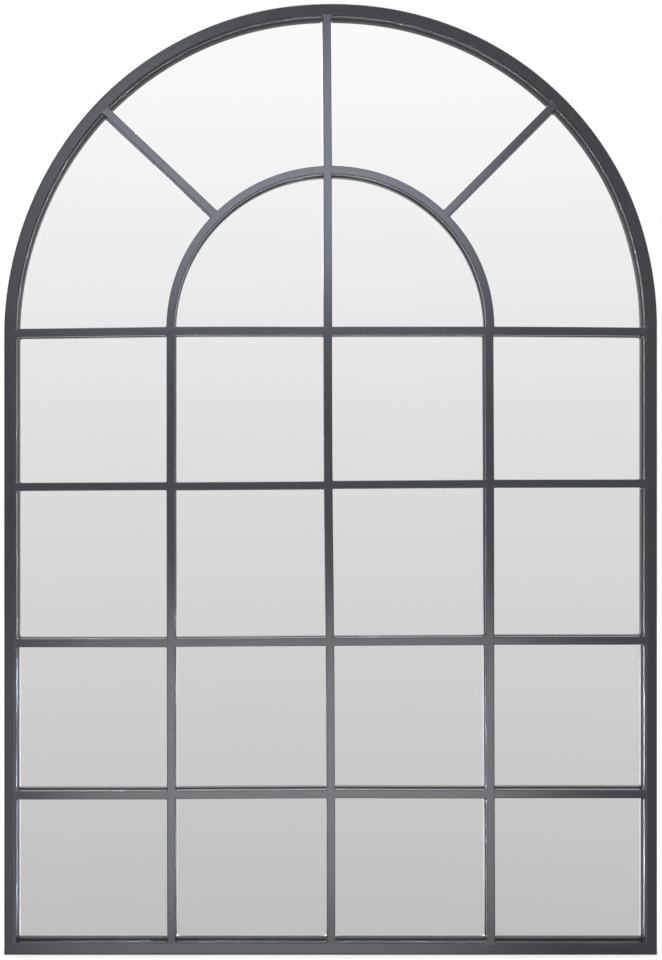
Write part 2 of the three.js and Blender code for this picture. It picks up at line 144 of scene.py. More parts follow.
# Bars sit a hair behind the ones that they meet, so that no two faces share a plane: the uprights
# and the arch behind the spring bar, and the level lengths, crown post and spokes behind those.
BEHIND_ONCE = 0.02 * MM
BEHIND_TWICE = 0.04 * MM


def through(knots, at):
    """The value at a place on the smooth curve through (place, value) knots."""
    places, values = np.array(knots, float).T
    slopes = np.gradient(values, places)
    span = int(np.clip(np.searchsorted(places, at) - 1, 0, len(places) - 2))
    width = places[span + 1] - places[span]
    t = float(np.clip((at - places[span]) / width, 0, 1))
    return float(
        (2 * t**3 - 3 * t**2 + 1) * values[span]
        + (t**3 - 2 * t**2 + t) * width * slopes[span]
        + (3 * t**2 - 2 * t**3) * values[span + 1]
        + (t**3 - t**2) * width * slopes[span + 1]
    )


def hoop_point(radius, degrees, spread=HOOP_SPREAD):
    """A point [x, z] of the hoop as built, for its drawn radius and an angle from +X."""
    turn = math.radians(degrees)
    real = radius + through(spread, degrees) * MM
    return real * math.cos(turn), SPRING + real * math.sin(turn)


def arch_point(radius, degrees):
    """A point [x, z] of the inner arch as built."""
    return hoop_point(radius, degrees, ARCH_SPREAD)


def mullion_x(name, z):
    """Where a mullion's middle line is at a height."""
    drawn = {"left": -COLUMN, "centre": 0.0, "right": COLUMN}[name]
    return drawn + through(MULLION_LEANS[name], z / MM) * MM


def spring_z(x):
    """Where the spring bar's middle line is at a distance from the middle."""
    return SPRING + through(SPRING_LIFT, x / MM) * MM


def crown_x(z):
    """Where the crown post's middle line is at a height."""
    return through(CROWN_LEAN, z / MM) * MM


def row_z(row, bay, share):
    """Where a level bar's middle line is, a share of its way through a bay."""
    left, right = ROW_LIFTS[row][bay]
    return ROWS[row] + (left + (right - left) * share) * MM


# ------------------------------------------------------------------ settings


def length(name, description, millimetres):
    return FloatProperty(
        name=name, description=description, default=millimetres * MM, unit="LENGTH", precision=5
    )


def colour(name, description, red, green, blue):
    return FloatVectorProperty(
        name=name, description=description, default=(red, green, blue),
        subtype="COLOR", size=3, min=0, max=1,
    )


def number(name, description, value):
    return FloatProperty(name=name, description=description, default=value)


class MetalSizes(bpy.types.PropertyGroup):
    """Sizes of the painted frame and lattice."""

    frame_corner: length("Frame corner", "Radius along the frame's four long edges", 2)
    bar_corner: length("Bar corner", "Radius along a bar's four long edges", 0.8)
    frame_weld: length("Frame weld", "Radius of the dressed weld where a bar meets the frame", 2.9)
    bar_weld: length("Bar weld", "Radius of the dressed weld where two bars meet", 1.5)
    waver: length("Waver", "How far a bar strays from a true line", 0.12)
    arc_step: FloatProperty(
        name="Arc step", description="Angle of one facet of a bent length",
        default=math.radians(1.5), subtype="ANGLE",
    )


class SheetSizes(bpy.types.PropertyGroup):
    """Sizes of the mirror sheet and the backing board."""

    silver_depth: length("Silver depth", "How deep the silver appears behind the front", 4.0)
    # The sheet's edge is painted dark, as painted shade where the glass's thickness lies.
    edge_slope: length("Edge slope", "Width of the sheet's dark edge", 0.1)
    glass_gap: length("Glass gap", "Between the frame and the sheet", 0.6)
    board_gap: length("Board gap", "Between the frame and the board", 1.5)
    board_ease: length("Board ease", "Size of the board's eased edges", 0.4)


class HardwareSizes(bpy.types.PropertyGroup):
    """Sizes of the clips, screws, hangers and bumpers."""

    sheet_metal: length("Strip thickness", "Thickness of the clips and hanger straps", 1.5)
    strip_edge: length("Strip edge", "Radius along the edges of clips and straps", 0.3)
    clip_bend: length("Clip bend", "Middle radius of a clip's two bends", 1.95)
    recess: length("Recess", "Depth of a screw's cross recess", 1.3)
    wire: length("Ring wire", "Diameter of the hanging ring's wire", 2)
    bumper_round: length("Bumper round", "Radius of a bumper's outer rim", 1.4)


class FinishColours(bpy.types.PropertyGroup):
    """Colours of the finishes."""

    paint: colour("Graphite paint", "Satin paint of the frame and lattice", 0.014, 0.017, 0.025)
    paint_warm: colour("Paint, warm", "The paint where it leans to green", 0.019, 0.021, 0.022)
    silver: colour("Silvering", "What the mirror gives back", 0.933, 0.933, 0.934)
    # The colour of the sheet's edge is painted shade, nearly black.
    glass_edge_shade: colour("Glass edge", "The dark edge of the sheet", 0.012, 0.016, 0.017)
    back_paint: colour("Back paint", "Paint behind the silver", 0.22, 0.23, 0.24)
    board: colour("Board", "Hardboard of the back", 0.30, 0.185, 0.105)
    rubber: colour("Rubber", "Bumpers and setting blocks", 0.012, 0.012, 0.013)
    foam: colour("Foam", "Tape between glass and board", 0.80, 0.78, 0.73)
    zinc: colour("Zinc", "Plated clips, screws and hangers", 0.60, 0.61, 0.62)


class StageSettings(bpy.types.PropertyGroup):
    """Camera and light."""

    camera_distance: length("Camera distance", "From the mirror's front to the camera", 1600)
    camera_height: length("Camera height", "Height of the camera's axis", 581.6)
    camera_side: length("Camera side", "Camera to the right of the mirror's middle", -55)
    picture_side: length(
        "Picture side", "Picture's middle to the right of the mirror's middle", 0.45
    )
    lens: number("Lens", "Focal length in millimetres", 49.02)
    room: number("Room light", "Even light of the room", 0.9)
    card: number("Card", "Light of the cards that the bars show", 4.6)
    frame_share: number("Frame share", "The frame's share of the cards' light", 0.5)
    overhead: number("Overhead", "Light of the overhead card and the back fill", 1.2)


class WindowMirrorSettings(bpy.types.PropertyGroup):
    """Everything that can be set on the window mirror."""

    metal: PointerProperty(type=MetalSizes)
    sheets: PointerProperty(type=SheetSizes)
    hardware: PointerProperty(type=HardwareSizes)
    colours: PointerProperty(type=FinishColours)
    stage: PointerProperty(type=StageSettings)


def settings():
    return bpy.context.scene.window_mirror


# ------------------------------------------------------------------ nodes


class Nodes:
    """Writes nodes into one tree, of a finish or of a shape."""

    def __init__(self, tree):
        self.tree = tree

    def node(self, kind, options=None, sockets=None):
        """Adds a node: its options first, then the values or links of its sockets."""
        node = self.tree.nodes.new(kind)
        for name, value in (options or {}).items():
            if name == "stops":
                self.set_stops(node.color_ramp, value)
            else:
                setattr(node, name, value)
        for key, value in (sockets or {}).items():
            self.feed(self.find(node.inputs, key), value)
        return node

    def value(self, kind, options=None, sockets=None, output=0):
        """Adds a node and gives one of its outputs, ready for an expression."""
        node = self.node(kind, options, sockets)
        return Value(self, self.find(node.outputs, output))

    def feed(self, socket, value):
        if isinstance(value, Value):
            self.tree.links.new(value.socket, socket)
        elif hasattr(value, "__len__") and socket.type == "RGBA" and len(value) == 3:
            socket.default_value = (*value, 1)
        else:
            socket.default_value = value

    @staticmethod
    def find(sockets, key):
        """A socket by its place, its identifier or its name."""
        if isinstance(key, int):
            return sockets[key]
        for socket in sockets:
            if socket.identifier == key:
                return socket
        return sockets[key]

    @staticmethod
    def set_stops(ramp, stops):
        while len(ramp.elements) < len(stops):
            ramp.elements.new(1)
        for element, (place, shade) in zip(ramp.elements, stops):
            element.position = place
            element.color = (shade, shade, shade, 1)

    def band(self, value, low, high):
        """Rises smoothly from 0 to 1 while a value goes from low to high."""
        return self.value(
            "ShaderNodeMapRange", {"interpolation_type": "SMOOTHSTEP"},
            {"Value": value, "From Min": low, "From Max": high},
        )

    def mixed(self, share, first, second):
        """One colour mixed with another by a share."""
        return self.value(
            "ShaderNodeMix", {"data_type": "RGBA"},
            {"Factor_Float": share, "A_Color": first, "B_Color": second}, "Result_Color",
        )


class Value:
    """A socket that takes part in Python expressions. Each operation adds its Math node."""

    def __init__(self, nodes, socket):
        self.nodes = nodes
        self.socket = socket

    def maths(self, operation, first, second):
        return self.nodes.value("ShaderNodeMath", {"operation": operation}, {0: first, 1: second})

    def __add__(self, other):
        return self.maths("ADD", self, other)

    __radd__ = __add__

    def __sub__(self, other):
        return self.maths("SUBTRACT", self, other)

    def __rsub__(self, other):
        return self.maths("SUBTRACT", other, self)

    def __mul__(self, other):
        return self.maths("MULTIPLY", self, other)

    __rmul__ = __mul__

    def __truediv__(self, other):
        return self.maths("DIVIDE", self, other)

    def __rtruediv__(self, other):
        return self.maths("DIVIDE", other, self)

    def most(self, other):
        return self.maths("MAXIMUM", self, other)


# ------------------------------------------------------------------ finishes


class Finish(Nodes):
    """A material under way, with the patterns that the finishes share."""

    def __init__(self, name):
        self.material = bpy.data.materials.new(name)
        self.material.use_nodes = True
        super().__init__(self.material.node_tree)
        self.shader = self.tree.nodes["Principled BSDF"]
        self.spot = self.value("ShaderNodeTexCoord", output="Object")

    def noise(self, scale, detail=2.0, roughness=0.5, stretch=None, distortion=0.0):
        """Soft noise around 0.5, `scale` features a metre, on stretched axes if asked."""
        spot = self.spot
        if stretch:
            spot = self.value("ShaderNodeMapping", None, {"Vector": spot, "Scale": stretch})
        return self.value(
            "ShaderNodeTexNoise", None,
            {
                "Vector": spot, "Scale": scale, "Detail": detail, "Roughness": roughness,
                "Distortion": distortion,
            },
        )

    def mark(self, name):
        """A number stored on the mesh under a name."""
        return self.value(
            "ShaderNodeAttribute", {"attribute_name": name, "attribute_type": "GEOMETRY"}, None,
            "Fac",
        )

    def bump(self, height, strength, depth, below=None):
        """A bumped normal, on top of another one if given."""
        sockets = {"Height": height, "Strength": strength, "Distance": depth}
        if below:
            sockets["Normal"] = below
        return self.value("ShaderNodeBump", None, sockets)

    def set(self, **sockets):
        """Sets sockets of the surface shader, named with _ for a space."""
        for name, value in sockets.items():
            self.feed(self.shader.inputs[name.replace("_", " ")], value)
        return self.material


def graphite_paint(name, roughness):
    """Satin paint over dressed steel: a faint orange peel, streaks along the bars and nibs."""
    colours = settings().colours
    finish = Finish(name)
    side = finish.mark("side")
    tone = finish.value(
        "ShaderNodeTexNoise", {"noise_dimensions": "4D"},
        {"Vector": finish.spot, "W": side * 0.9, "Scale": 11.0, "Detail": 2.0, "Roughness": 0.5},
    )
    blotch = finish.noise(85, 4, 0.65)
    peel = finish.noise(900, 2, 0.5)
    swell = finish.noise(14, 1, 0.4)
    nibs = finish.band(finish.noise(700, 1, 0.5), 0.76, 0.80)
    mark = finish.mark("edge")
    rubbed = mark.most(0.0) * finish.band(blotch, 0.45, 0.62)
    hidden = (mark * -1).most(0.0)
    paint = finish.mixed(finish.band(tone, 0.35, 0.65), colours.paint, colours.paint_warm)
    lighter = finish.mixed(rubbed * 0.3, paint, (0.070, 0.073, 0.082))
    dusted = finish.mixed(nibs * 0.5, lighter, (0.009, 0.009, 0.011))
    normal = finish.bump(swell, 0.12, 0.0012)
    normal = finish.bump(peel, 0.18, 0.00012, normal)
    normal = finish.bump(nibs, 0.15, 0.00005, normal)
    rough = roughness + (tone - 0.5) * 0.16 + (blotch - 0.5) * 0.06 - rubbed * 0.04
    return finish.set(
        Base_Color=dusted, Roughness=rough + hidden * 0.5, Metallic=rubbed * 0.3, Normal=normal
    )


def silvered_glass():
    """Clean silvering, toned as glass would tone it, with a haze that the eye barely finds."""
    colours = settings().colours
    finish = Finish("silvered glass")
    haze = finish.noise(7, 3, 0.6)
    silver = finish.mixed(finish.band(haze, 0.4, 0.7) * 0.3, colours.silver, (0.920, 0.921, 0.923))
    return finish.set(Base_Color=silver, Metallic=1.0, Roughness=0.004 + haze * 0.012)


def glass_edge_shade():
    """The sheet's ground edge, painted nearly black as the shade that lies along it."""
    finish = Finish("glass edge")
    grind = finish.noise(600, 2)
    edge = finish.mixed(grind * 0.6, settings().colours.glass_edge_shade, (0.02, 0.028, 0.028))
    return finish.set(Base_Color=edge, Roughness=0.35 + grind * 0.2)


def back_paint():
    """Grey protective paint behind the silver, rolled on."""
    finish = Finish("mirror back paint")
    roll = finish.noise(60, 3, 0.6, stretch=(1, 1, 0.2))
    rolled = finish.band(roll, 0.4, 0.6)
    paint = finish.mixed(rolled, settings().colours.back_paint, (0.27, 0.28, 0.29))
    normal = finish.bump(roll, 0.2, 0.0002)
    return finish.set(Base_Color=paint, Roughness=0.5 + roll * 0.2, Normal=normal)


def fibreboard():
    """Hardboard: pressed fibres that lie every way, dark flecks and a dry surface."""
    finish = Finish("hardboard")
    cloud = finish.noise(9, 4, 0.6)
    fibre = finish.noise(320, 5, 0.75, distortion=0.35)
    strands = finish.noise(480, 2, 0.5, stretch=(1, 1, 0.25), distortion=0.8)
    flecks = finish.band(finish.noise(330, 2, 0.6), 0.64, 0.72)
    clouded = finish.band(cloud, 0.35, 0.7)
    base = finish.mixed(clouded, settings().colours.board, (0.235, 0.145, 0.082))
    fibred = finish.mixed(finish.band(fibre, 0.38, 0.66) * 0.4, base, (0.42, 0.285, 0.175))
    flecked = finish.mixed(flecks * 0.7, fibred, (0.10, 0.058, 0.032))
    normal = finish.bump(fibre, 0.35, 0.0003)
    normal = finish.bump(strands, 0.25, 0.0002, normal)
    return finish.set(Base_Color=flecked, Roughness=0.72 + fibre * 0.2, Normal=normal)


def black_rubber():
    """Moulded rubber with a dull bloom and fine grain."""
    finish = Finish("black rubber")
    bloom = finish.noise(120, 3, 0.6)
    grain = finish.noise(1600, 2)
    dulled = finish.band(bloom, 0.4, 0.7) * 0.6
    rubber = finish.mixed(dulled, settings().colours.rubber, (0.030, 0.030, 0.032))
    normal = finish.bump(grain, 0.25, 0.0001)
    return finish.set(Base_Color=rubber, Roughness=0.62 + bloom * 0.2, Normal=normal)


def foam():
    """Open-celled foam tape, its hollows painted darker as shade."""
    finish = Finish("foam tape")
    cells = finish.value(
        "ShaderNodeTexVoronoi", None, {"Vector": finish.spot, "Scale": 1400.0}, "Distance"
    )
    hollows_and_shade = finish.band(cells, 0.1, 0.45)
    # Painted shade: the tone darkens in the hollows, where the bump sinks.
    tone = finish.mixed(hollows_and_shade, (0.52, 0.50, 0.45), settings().colours.foam)
    return finish.set(Base_Color=tone, Roughness=0.9, Normal=finish.bump(hollows_and_shade, 0.5, 0.0003))


def zinc_plate():
    """Bright zinc plate: faint spangle, drawn lines and a slight cloud of passivation."""
    finish = Finish("zinc plate")
    cloud = finish.noise(90, 3, 0.6)
    drawn = finish.noise(900, 2, 0.5, stretch=(1, 1, 0.12))
    edge = finish.mark("edge").most(0.0)
    clouded = finish.band(cloud, 0.35, 0.7)
    plate = finish.mixed(clouded, settings().colours.zinc, (0.50, 0.515, 0.55))
    # Painted highlight: the rounded edges are painted lighter, as the light that they catch.
    bright = finish.mixed(edge * 0.4, plate, (0.74, 0.74, 0.73))
    return finish.set(
        Base_Color=bright, Metallic=1.0, Roughness=0.30 + cloud * 0.12 + (drawn - 0.5) * 0.12,
        Normal=finish.bump(drawn, 0.12, 0.00008),
    )


FINISHES = {}


def finish(name):
    """A finish by its name, made once."""
    if name not in FINISHES:
        makers = {
            "frame paint": lambda: graphite_paint("graphite paint on the frame", 0.24),
            "bar paint": lambda: graphite_paint("graphite paint on the bars", 0.22),
            "silvered glass": silvered_glass,
            "glass edge": glass_edge_shade,
            "back paint": back_paint,
            "hardboard": fibreboard,
            "rubber": black_rubber,
            "foam": foam,
            "zinc": zinc_plate,
        }
        FINISHES[name] = makers[name]()
    return FINISHES[name]


# ------------------------------------------------------------------ meshes

# Points nearer than this are one, and edges that turn more than this stay sharp.
SEAM = 1e-7
SHARP = math.radians(40)


def stand(name, data):
    """An object in the scene for a mesh, a lamp or the camera."""
    holder = bpy.data.objects.new(name, data)
    bpy.context.scene.collection.objects.link(holder)
    return holder


def drop(*holders):
    """Takes away the objects that only lent their shape."""
    for holder in holders:
        bpy.data.objects.remove(holder)


def new_piece(name, mesh, *finish_names):
    """An object for a finished mesh, at the origin, with its finishes."""
    piece = stand(name, mesh)
    for finish_name in finish_names:
        mesh.materials.append(finish(finish_name))
    return piece


def hand_over(piece, slot, *nodes, body="mirror"):
    """Gives a finished piece its body and hides the nodes that it stands for. The slot is not used.
    """
    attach(piece, body)
    if nodes:
        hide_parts(*nodes)


def closed_mesh(name, vertices, faces, edge=None, side=None):
    """A mesh whose faces point outwards, with sharp edges kept sharp."""
    mesh = bpy.data.meshes.new(name)
    mesh.from_pydata(vertices, [], faces)
    add_marks(mesh, edge=edge, side=side)
    return outward(mesh)


def add_marks(mesh, **marks):
    """Stores a number for each point of a mesh, under its name."""
    for name, values in marks.items():
        if values is not None:
            mark = mesh.attributes.new(name, "FLOAT", "POINT")
            mark.data.foreach_set("value", np.array(values, np.float32))


def outward(mesh):
    """Closes a mesh's seams, turns its faces outwards and shades it smooth between its edges."""
    shape = bmesh.new()
    shape.from_mesh(mesh)
    bmesh.ops.remove_doubles(shape, verts=shape.verts, dist=SEAM)
    bmesh.ops.recalc_face_normals(shape, faces=shape.faces)
    shape.to_mesh(mesh)
    shape.free()
    mesh.shade_smooth()
    mesh.set_sharp_from_angle(angle=SHARP)
    return mesh


def rounded_section(width, depth, radius, steps, hold, sheltered=None, sides=0.0):
    """A round-cornered rectangle as (across, deep, mark) points, with a point just past each
    corner that keeps the flats flat. The mark is 1 on the corners and -1 on the sheltered part:
    the back, or the inner side from a given depth on. The sides may have a mark of their own."""
    points = []
    corners = [
        (width - radius, radius, -90),
        (width - radius, depth - radius, 0),
        (radius, depth - radius, 90),
        (radius, radius, 180),
    ]
    for across, deep, start in corners:
        for step in range(-1, steps + 2):
            turn = math.radians(start + 90 * min(max(step, 0), steps) / steps)
            point_across = across + radius * math.cos(turn)
            point_deep = deep + radius * math.sin(turn)
            past = hold if step < 0 else -hold if step > steps else 0
            point_across += past * math.sin(turn)
            point_deep -= past * math.cos(turn)
            if sheltered:
                dull = point_across > width - radius / 2 and point_deep > sheltered
            else:
                dull = point_deep > depth - radius / 2
            on_side = past and (start == 0 or start == 180) == (step < 0)
            flat = -sides if on_side else 0.0
            points.append((point_across, point_deep, -1.0 if dull else flat if past else 1.0))
        if sheltered and start == -90:
            points.append((width, sheltered - 0.02 * MM, 0.0))
            points.append((width, sheltered + 0.02 * MM, -1.0))
    return points


def ring_faces(rings, size):
    """The faces between rings of points that follow each other, and a cap on both ends."""
    faces = []
    for near in range(0, (rings - 1) * size, size):
        far = near + size
        for side in range(size):
            after = (side + 1) % size
            faces.append((near + side, near + after, far + after, far + side))
    last = (rings - 1) * size
    return faces + [tuple(range(size)), tuple(range(last, last + size))]


def swept_mesh(name, section, stations):
    """A closed mesh of a section swept through stations, each a function that places an
    (across, deep) point in space."""
    vertices = [station(across, deep) for station in stations for across, deep, _ in section]
    edge = [mark for _ in stations for _, _, mark in section]
    width = max(across for across, _, _ in section)
    aside = [2 * across / width - 1 for _ in stations for across, _, _ in section]
    faces = ring_faces(len(stations), len(section))
    return closed_mesh(name, vertices, faces, edge, aside)


def turned_mesh(name, profile, sides):
    """A closed mesh of a (radius, along) profile turned round the Y axis, ends on the axis."""
    vertices, faces = [], []
    rings = []
    for radius, along in profile:
        if radius < SEAM:
            rings.append([len(vertices)])
            vertices.append((0, along, 0))
            continue
        start = len(vertices)
        rings.append(list(range(start, start + sides)))
        for side in range(sides):
            turn = 2 * math.pi * side / sides
            vertices.append((radius * math.cos(turn), along, radius * math.sin(turn)))
    for near, far in zip(rings, rings[1:]):
        for side in range(sides):
            after = side + 1
            corners = [(near, side), (near, after), (far, after), (far, side)]
            faces.append(tuple(dict.fromkeys(ring[place % len(ring)] for ring, place in corners)))
    return closed_mesh(name, vertices, faces)


# ------------------------------------------------------------------ shapes grown by rule


class Rule(Nodes):
    """A Geometry Nodes tree with named inputs."""

    def __init__(self, name, **inputs):
        super().__init__(bpy.data.node_groups.new(name, "GeometryNodeTree"))
        interface = self.tree.interface
        interface.new_socket("Geometry", in_out="INPUT", socket_type="NodeSocketGeometry")
        self.keys = {}
        for label, kind in inputs.items():
            socket = interface.new_socket(
                label.replace("_", " "), in_out="INPUT", socket_type=f"NodeSocket{kind}"
            )
            self.keys[label] = socket.identifier
        interface.new_socket("Geometry", in_out="OUTPUT", socket_type="NodeSocketGeometry")
        self.given = self.tree.nodes.new("NodeGroupInput")

    def input(self, label="Geometry"):
        return Value(self, self.given.outputs[label.replace("_", " ")])

    def shape(self, label):
        """The geometry of the object that an input names."""
        return self.value(
            "GeometryNodeObjectInfo", None, {"Object": self.input(label)}, "Geometry"
        )

    def end(self, geometry):
        """Realizes the instances, gives the material and ends the tree."""
        real = self.value("GeometryNodeRealizeInstances", None, {"Geometry": geometry})
        real = self.value(
            "GeometryNodeSetMaterial", None, {"Geometry": real, "Material": self.input("Material")}
        )
        self.node("NodeGroupOutput", None, {"Geometry": real})

    def grow(self, name, seed_mesh, **values):
        """Runs the tree on a mesh and gives the plain mesh that comes out."""
        holder = stand(name, seed_mesh)
        modifier = holder.modifiers.new("rule", "NODES")
        modifier.node_group = self.tree
        for label, value in values.items():
            modifier[self.keys[label]] = value
        graph = bpy.context.evaluated_depsgraph_get()
        grown = bpy.data.meshes.new_from_object(
            holder.evaluated_get(graph), preserve_all_data_layers=True, depsgraph=graph
        )
        grown.name = name
        drop(holder)
        return outward(grown)


def bar_rule():
    """A bar or wire: the path of the mesh's edges, swept with a profile, with a slight waver."""
    rule = Rule(
        "bar along a path", Profile="Object", Waver="Float", Waver_length="Float", Seed="Float",
        Material="Material",
    )
    path = rule.value("GeometryNodeMeshToCurve", None, {"Mesh": rule.input()})
    path = rule.value(
        "GeometryNodeSetCurveNormal", {"mode": "FREE"}, {"Curve": path, "Normal": (0.0, -1.0, 0.0)}
    )
    place = rule.value("GeometryNodeInputPosition")
    wave = rule.value(
        "ShaderNodeTexNoise", {"noise_dimensions": "4D"},
        {
            "Vector": place, "W": rule.input("Seed"), "Scale": 1 / rule.input("Waver_length"),
            "Detail": 1.0,
        },
        "Color",
    )
    swing = rule.value(
        "ShaderNodeVectorMath", {"operation": "SUBTRACT"}, {0: wave, 1: (0.5, 0.5, 0.5)}
    )
    level = rule.value(
        "ShaderNodeVectorMath", {"operation": "MULTIPLY"}, {0: swing, 1: (2.0, 0.0, 2.0)}
    )
    stray = rule.value(
        "ShaderNodeVectorMath", {"operation": "SCALE"}, {0: level, "Scale": rule.input("Waver")}
    )
    path = rule.value("GeometryNodeSetPosition", None, {"Geometry": path, "Offset": stray})
    outline = rule.value("GeometryNodeMeshToCurve", None, {"Mesh": rule.shape("Profile")})
    bar = rule.value(
        "GeometryNodeCurveToMesh", None,
        {"Curve": path, "Profile Curve": outline, "Fill Caps": True},
    )
    rule.end(bar)
    return rule


def scatter_rule():
    """Copies of up to three shapes, stood on points that carry their turn and kind."""
    rule = Rule(
        "pieces on points", First="Object", Second="Object", Third="Object", Uneven="Float",
        Spin="Float", Seed="Int", Material="Material",
    )

    def carried(name, kind):
        return rule.value(
            "GeometryNodeInputNamedAttribute", {"data_type": kind}, {"Name": name}, "Attribute"
        )

    def around(middle, spread):
        """A random number for each point, within a spread of a middle."""
        return rule.value(
            "FunctionNodeRandomValue", {"data_type": "FLOAT"},
            {"Min_001": middle - spread, "Max_001": middle + spread, "Seed": rule.input("Seed")},
            "Value_001",
        )

    turn = carried("turn", "FLOAT") + around(0, rule.input("Spin"))
    kind = carried("kind", "INT")
    size = around(1, rule.input("Uneven"))
    facing = rule.value("ShaderNodeCombineXYZ", None, {"X": 0.0, "Y": turn, "Z": 0.0})
    stretch = rule.value("ShaderNodeCombineXYZ", None, {"X": size, "Y": 1.0, "Z": size})
    joined = rule.node("GeometryNodeJoinGeometry")
    for index, label in enumerate(("First", "Second", "Third")):
        chosen = rule.value(
            "FunctionNodeCompare", {"data_type": "INT", "operation": "EQUAL"},
            {"A_INT": kind, "B_INT": index},
        )
        placed = rule.value(
            "GeometryNodeInstanceOnPoints", None,
            {
                "Points": rule.input(), "Selection": chosen, "Instance": rule.shape(label),
                "Rotation": facing, "Scale": stretch,
            },
        )
        rule.tree.links.new(placed.socket, joined.inputs[0])
    rule.end(Value(rule, joined.outputs[0]))
    return rule


def point_mesh(name, places):
    """Loose points that carry their turn and kind, from (place, turn, kind)."""
    mesh = bpy.data.meshes.new(name)
    mesh.from_pydata([place for place, _, _ in places], [], [])
    turns = mesh.attributes.new("turn", "FLOAT", "POINT")
    turns.data.foreach_set("value", [turn for _, turn, _ in places])
    kinds = mesh.attributes.new("kind", "INT", "POINT")
    kinds.data.foreach_set("value", [kind for _, _, kind in places])
    return mesh


def path_mesh(name, points, closed=False):
    """A string of edges through points."""
    edges = [(i, i + 1) for i in range(len(points) - 1)]
    if closed:
        edges.append((len(points) - 1, 0))
    mesh = bpy.data.meshes.new(name)
    mesh.from_pydata(points, edges, [])
    return mesh


def profile_mesh(name, section, middle_across, middle_deep):
    """A closed outline for the bar rule, centred on its middle, its front towards +X."""
    points = [(middle_deep - deep, across - middle_across, 0) for across, deep, _ in section]
    mesh = path_mesh(name, points, closed=True)
    half = middle_across or 1
    add_marks(
        mesh, edge=[mark for _, _, mark in section],
        side=[across / half - 1 for across, _, _ in section],
    )
    return mesh


# ------------------------------------------------------------------ the frame


class WINDOWMIRROR_OT_frame(bpy.types.Operator):
    """Builds the hoop and the bottom rail, round-cornered box section mitred at the feet"""

    bl_idname = "window_mirror.frame"
    bl_label = "Frame"

    def execute(self, context):
        sizes = settings().metal
        depth = FRAME_BACK - FRONT
        sheltered = GLASS_LOW.y - FRONT
        section = rounded_section(
            FRAME_FACE, depth, sizes.frame_corner, steps=6, hold=0.5 * MM, sheltered=sheltered
        )
        hoop, rail = self.hoop(section, sizes), self.rail(section)
        hand_over(new_piece("painted_hoop", hoop, "frame paint"), "graphite_paint", "frame_hoop")
        hand_over(new_piece("painted_rail", rail, "frame paint"), "graphite_paint", "bottom_rail")
        return {"FINISHED"}

    @staticmethod
    def foot(side):
        """A foot cut on the mitre, where a point stands as high as it lies inward. The side is
        -1 at the left and 1 at the right."""
        return lambda across, deep: (side * (OUTER_RADIUS - across), FRONT + deep, across)

    @staticmethod
    def stile(side, heights):
        """The stations of a straight stile."""
        return [
            lambda across, deep, z=height: (side * (OUTER_RADIUS - across), FRONT + deep, z)
            for height in heights
        ]

    def hoop(self, section, sizes):
        """Up the left stile, round the arch and down the right one."""
        clear_of_mitre, clear_of_bend = 50 * MM, 20 * MM
        heights = np.linspace(clear_of_mitre, SPRING - clear_of_bend, 12)
        stations = [self.foot(-1), *self.stile(-1, heights)]
        for degrees in np.linspace(180, 0, round(math.pi / sizes.arc_step) + 1):

            def station(across, deep, degrees=degrees):
                x, z = hoop_point(OUTER_RADIUS - across, degrees)
                return x, FRONT + deep, z

            stations.append(station)
        stations += [*self.stile(1, heights[::-1]), self.foot(1)]
        return swept_mesh("hoop", section, stations)

    def rail(self, section):
        """From mitre to mitre along the foot of the frame."""
        clear_of_mitre = 30 * MM
        end = OUTER_RADIUS - clear_of_mitre
        stations = [self.foot(-1)]
        for x in np.linspace(-end, end, 14):
            stations.append(lambda across, deep, x=x: (x, FRONT + deep, across))
        stations.append(self.foot(1))
        return swept_mesh("rail", section, stations)


# ------------------------------------------------------------------ the lattice


def lattice_paths(sizes):
    """Every bar's middle line as [x, z] points, and how far it sits behind the front plane."""
    into_frame = sizes.frame_corner
    into_bar = sizes.bar_corner
    paths = {}

    def run(start, end, count=24):
        return [
            (start[0] + (end[0] - start[0]) * i / count, start[1] + (end[1] - start[1]) * i / count)
            for i in range(count + 1)
        ]

    end = INNER_RADIUS + into_frame
    xs = np.linspace(-end, end, 97)
    paths["spring_bar"] = ([(x, spring_z(x)) for x in xs], 0)

    for name in MULLION_LEANS:
        top = spring_z(mullion_x(name, SPRING)) - HALF_BAR + into_bar
        heights = np.linspace(FRAME_FACE - into_frame, top, 90)
        paths[f"mullion_{name}"] = ([(mullion_x(name, z), z) for z in heights], BEHIND_ONCE)

    foot = math.degrees(BAR / ARCH_RADIUS)
    degrees = np.linspace(180 - foot, foot, 117)
    arc = [arch_point(ARCH_RADIUS, angle) for angle in degrees]
    left_foot = (arc[0][0], spring_z(-COLUMN) + HALF_BAR - into_bar)
    right_foot = (arc[-1][0], spring_z(COLUMN) + HALF_BAR - into_bar)
    paths["inner_arch"] = ([left_foot, *arc, right_foot], BEHIND_ONCE)

    crown_foot = SPRING + HALF_BAR - into_bar
    crown_head = arch_point(ARCH_RADIUS - HALF_BAR, 90)[1] + into_bar
    paths["crown_post"] = (
        run((crown_x(crown_foot), crown_foot), (crown_x(crown_head), crown_head)), BEHIND_TWICE
    )
    for name, (angle, foot_drift, head_drift) in SPOKE_DRIFTS.items():
        turn = math.radians(angle)
        aside = Vector((math.sin(turn), -math.cos(turn)))
        low = Vector(arch_point(ARCH_RADIUS + HALF_BAR - into_bar, angle)) + aside * foot_drift * MM
        high = Vector(hoop_point(INNER_RADIUS + into_frame, angle)) + aside * head_drift * MM
        paths[name] = (run(tuple(low), tuple(high)), BEHIND_TWICE)

    for row, z in enumerate(ROWS):
        for bay, place in enumerate(BAYS):
            near, far = UPRIGHTS[bay], UPRIGHTS[bay + 1]
            x0 = mullion_x(near, z) + HALF_BAR - into_bar if near else -end
            x1 = mullion_x(far, z) - HALF_BAR + into_bar if far else end
            paths[f"transom_{row + 1}_{place}"] = (
                run((x0, row_z(row, bay, 0)), (x1, row_z(row, bay, 1))), BEHIND_TWICE
            )
    return paths


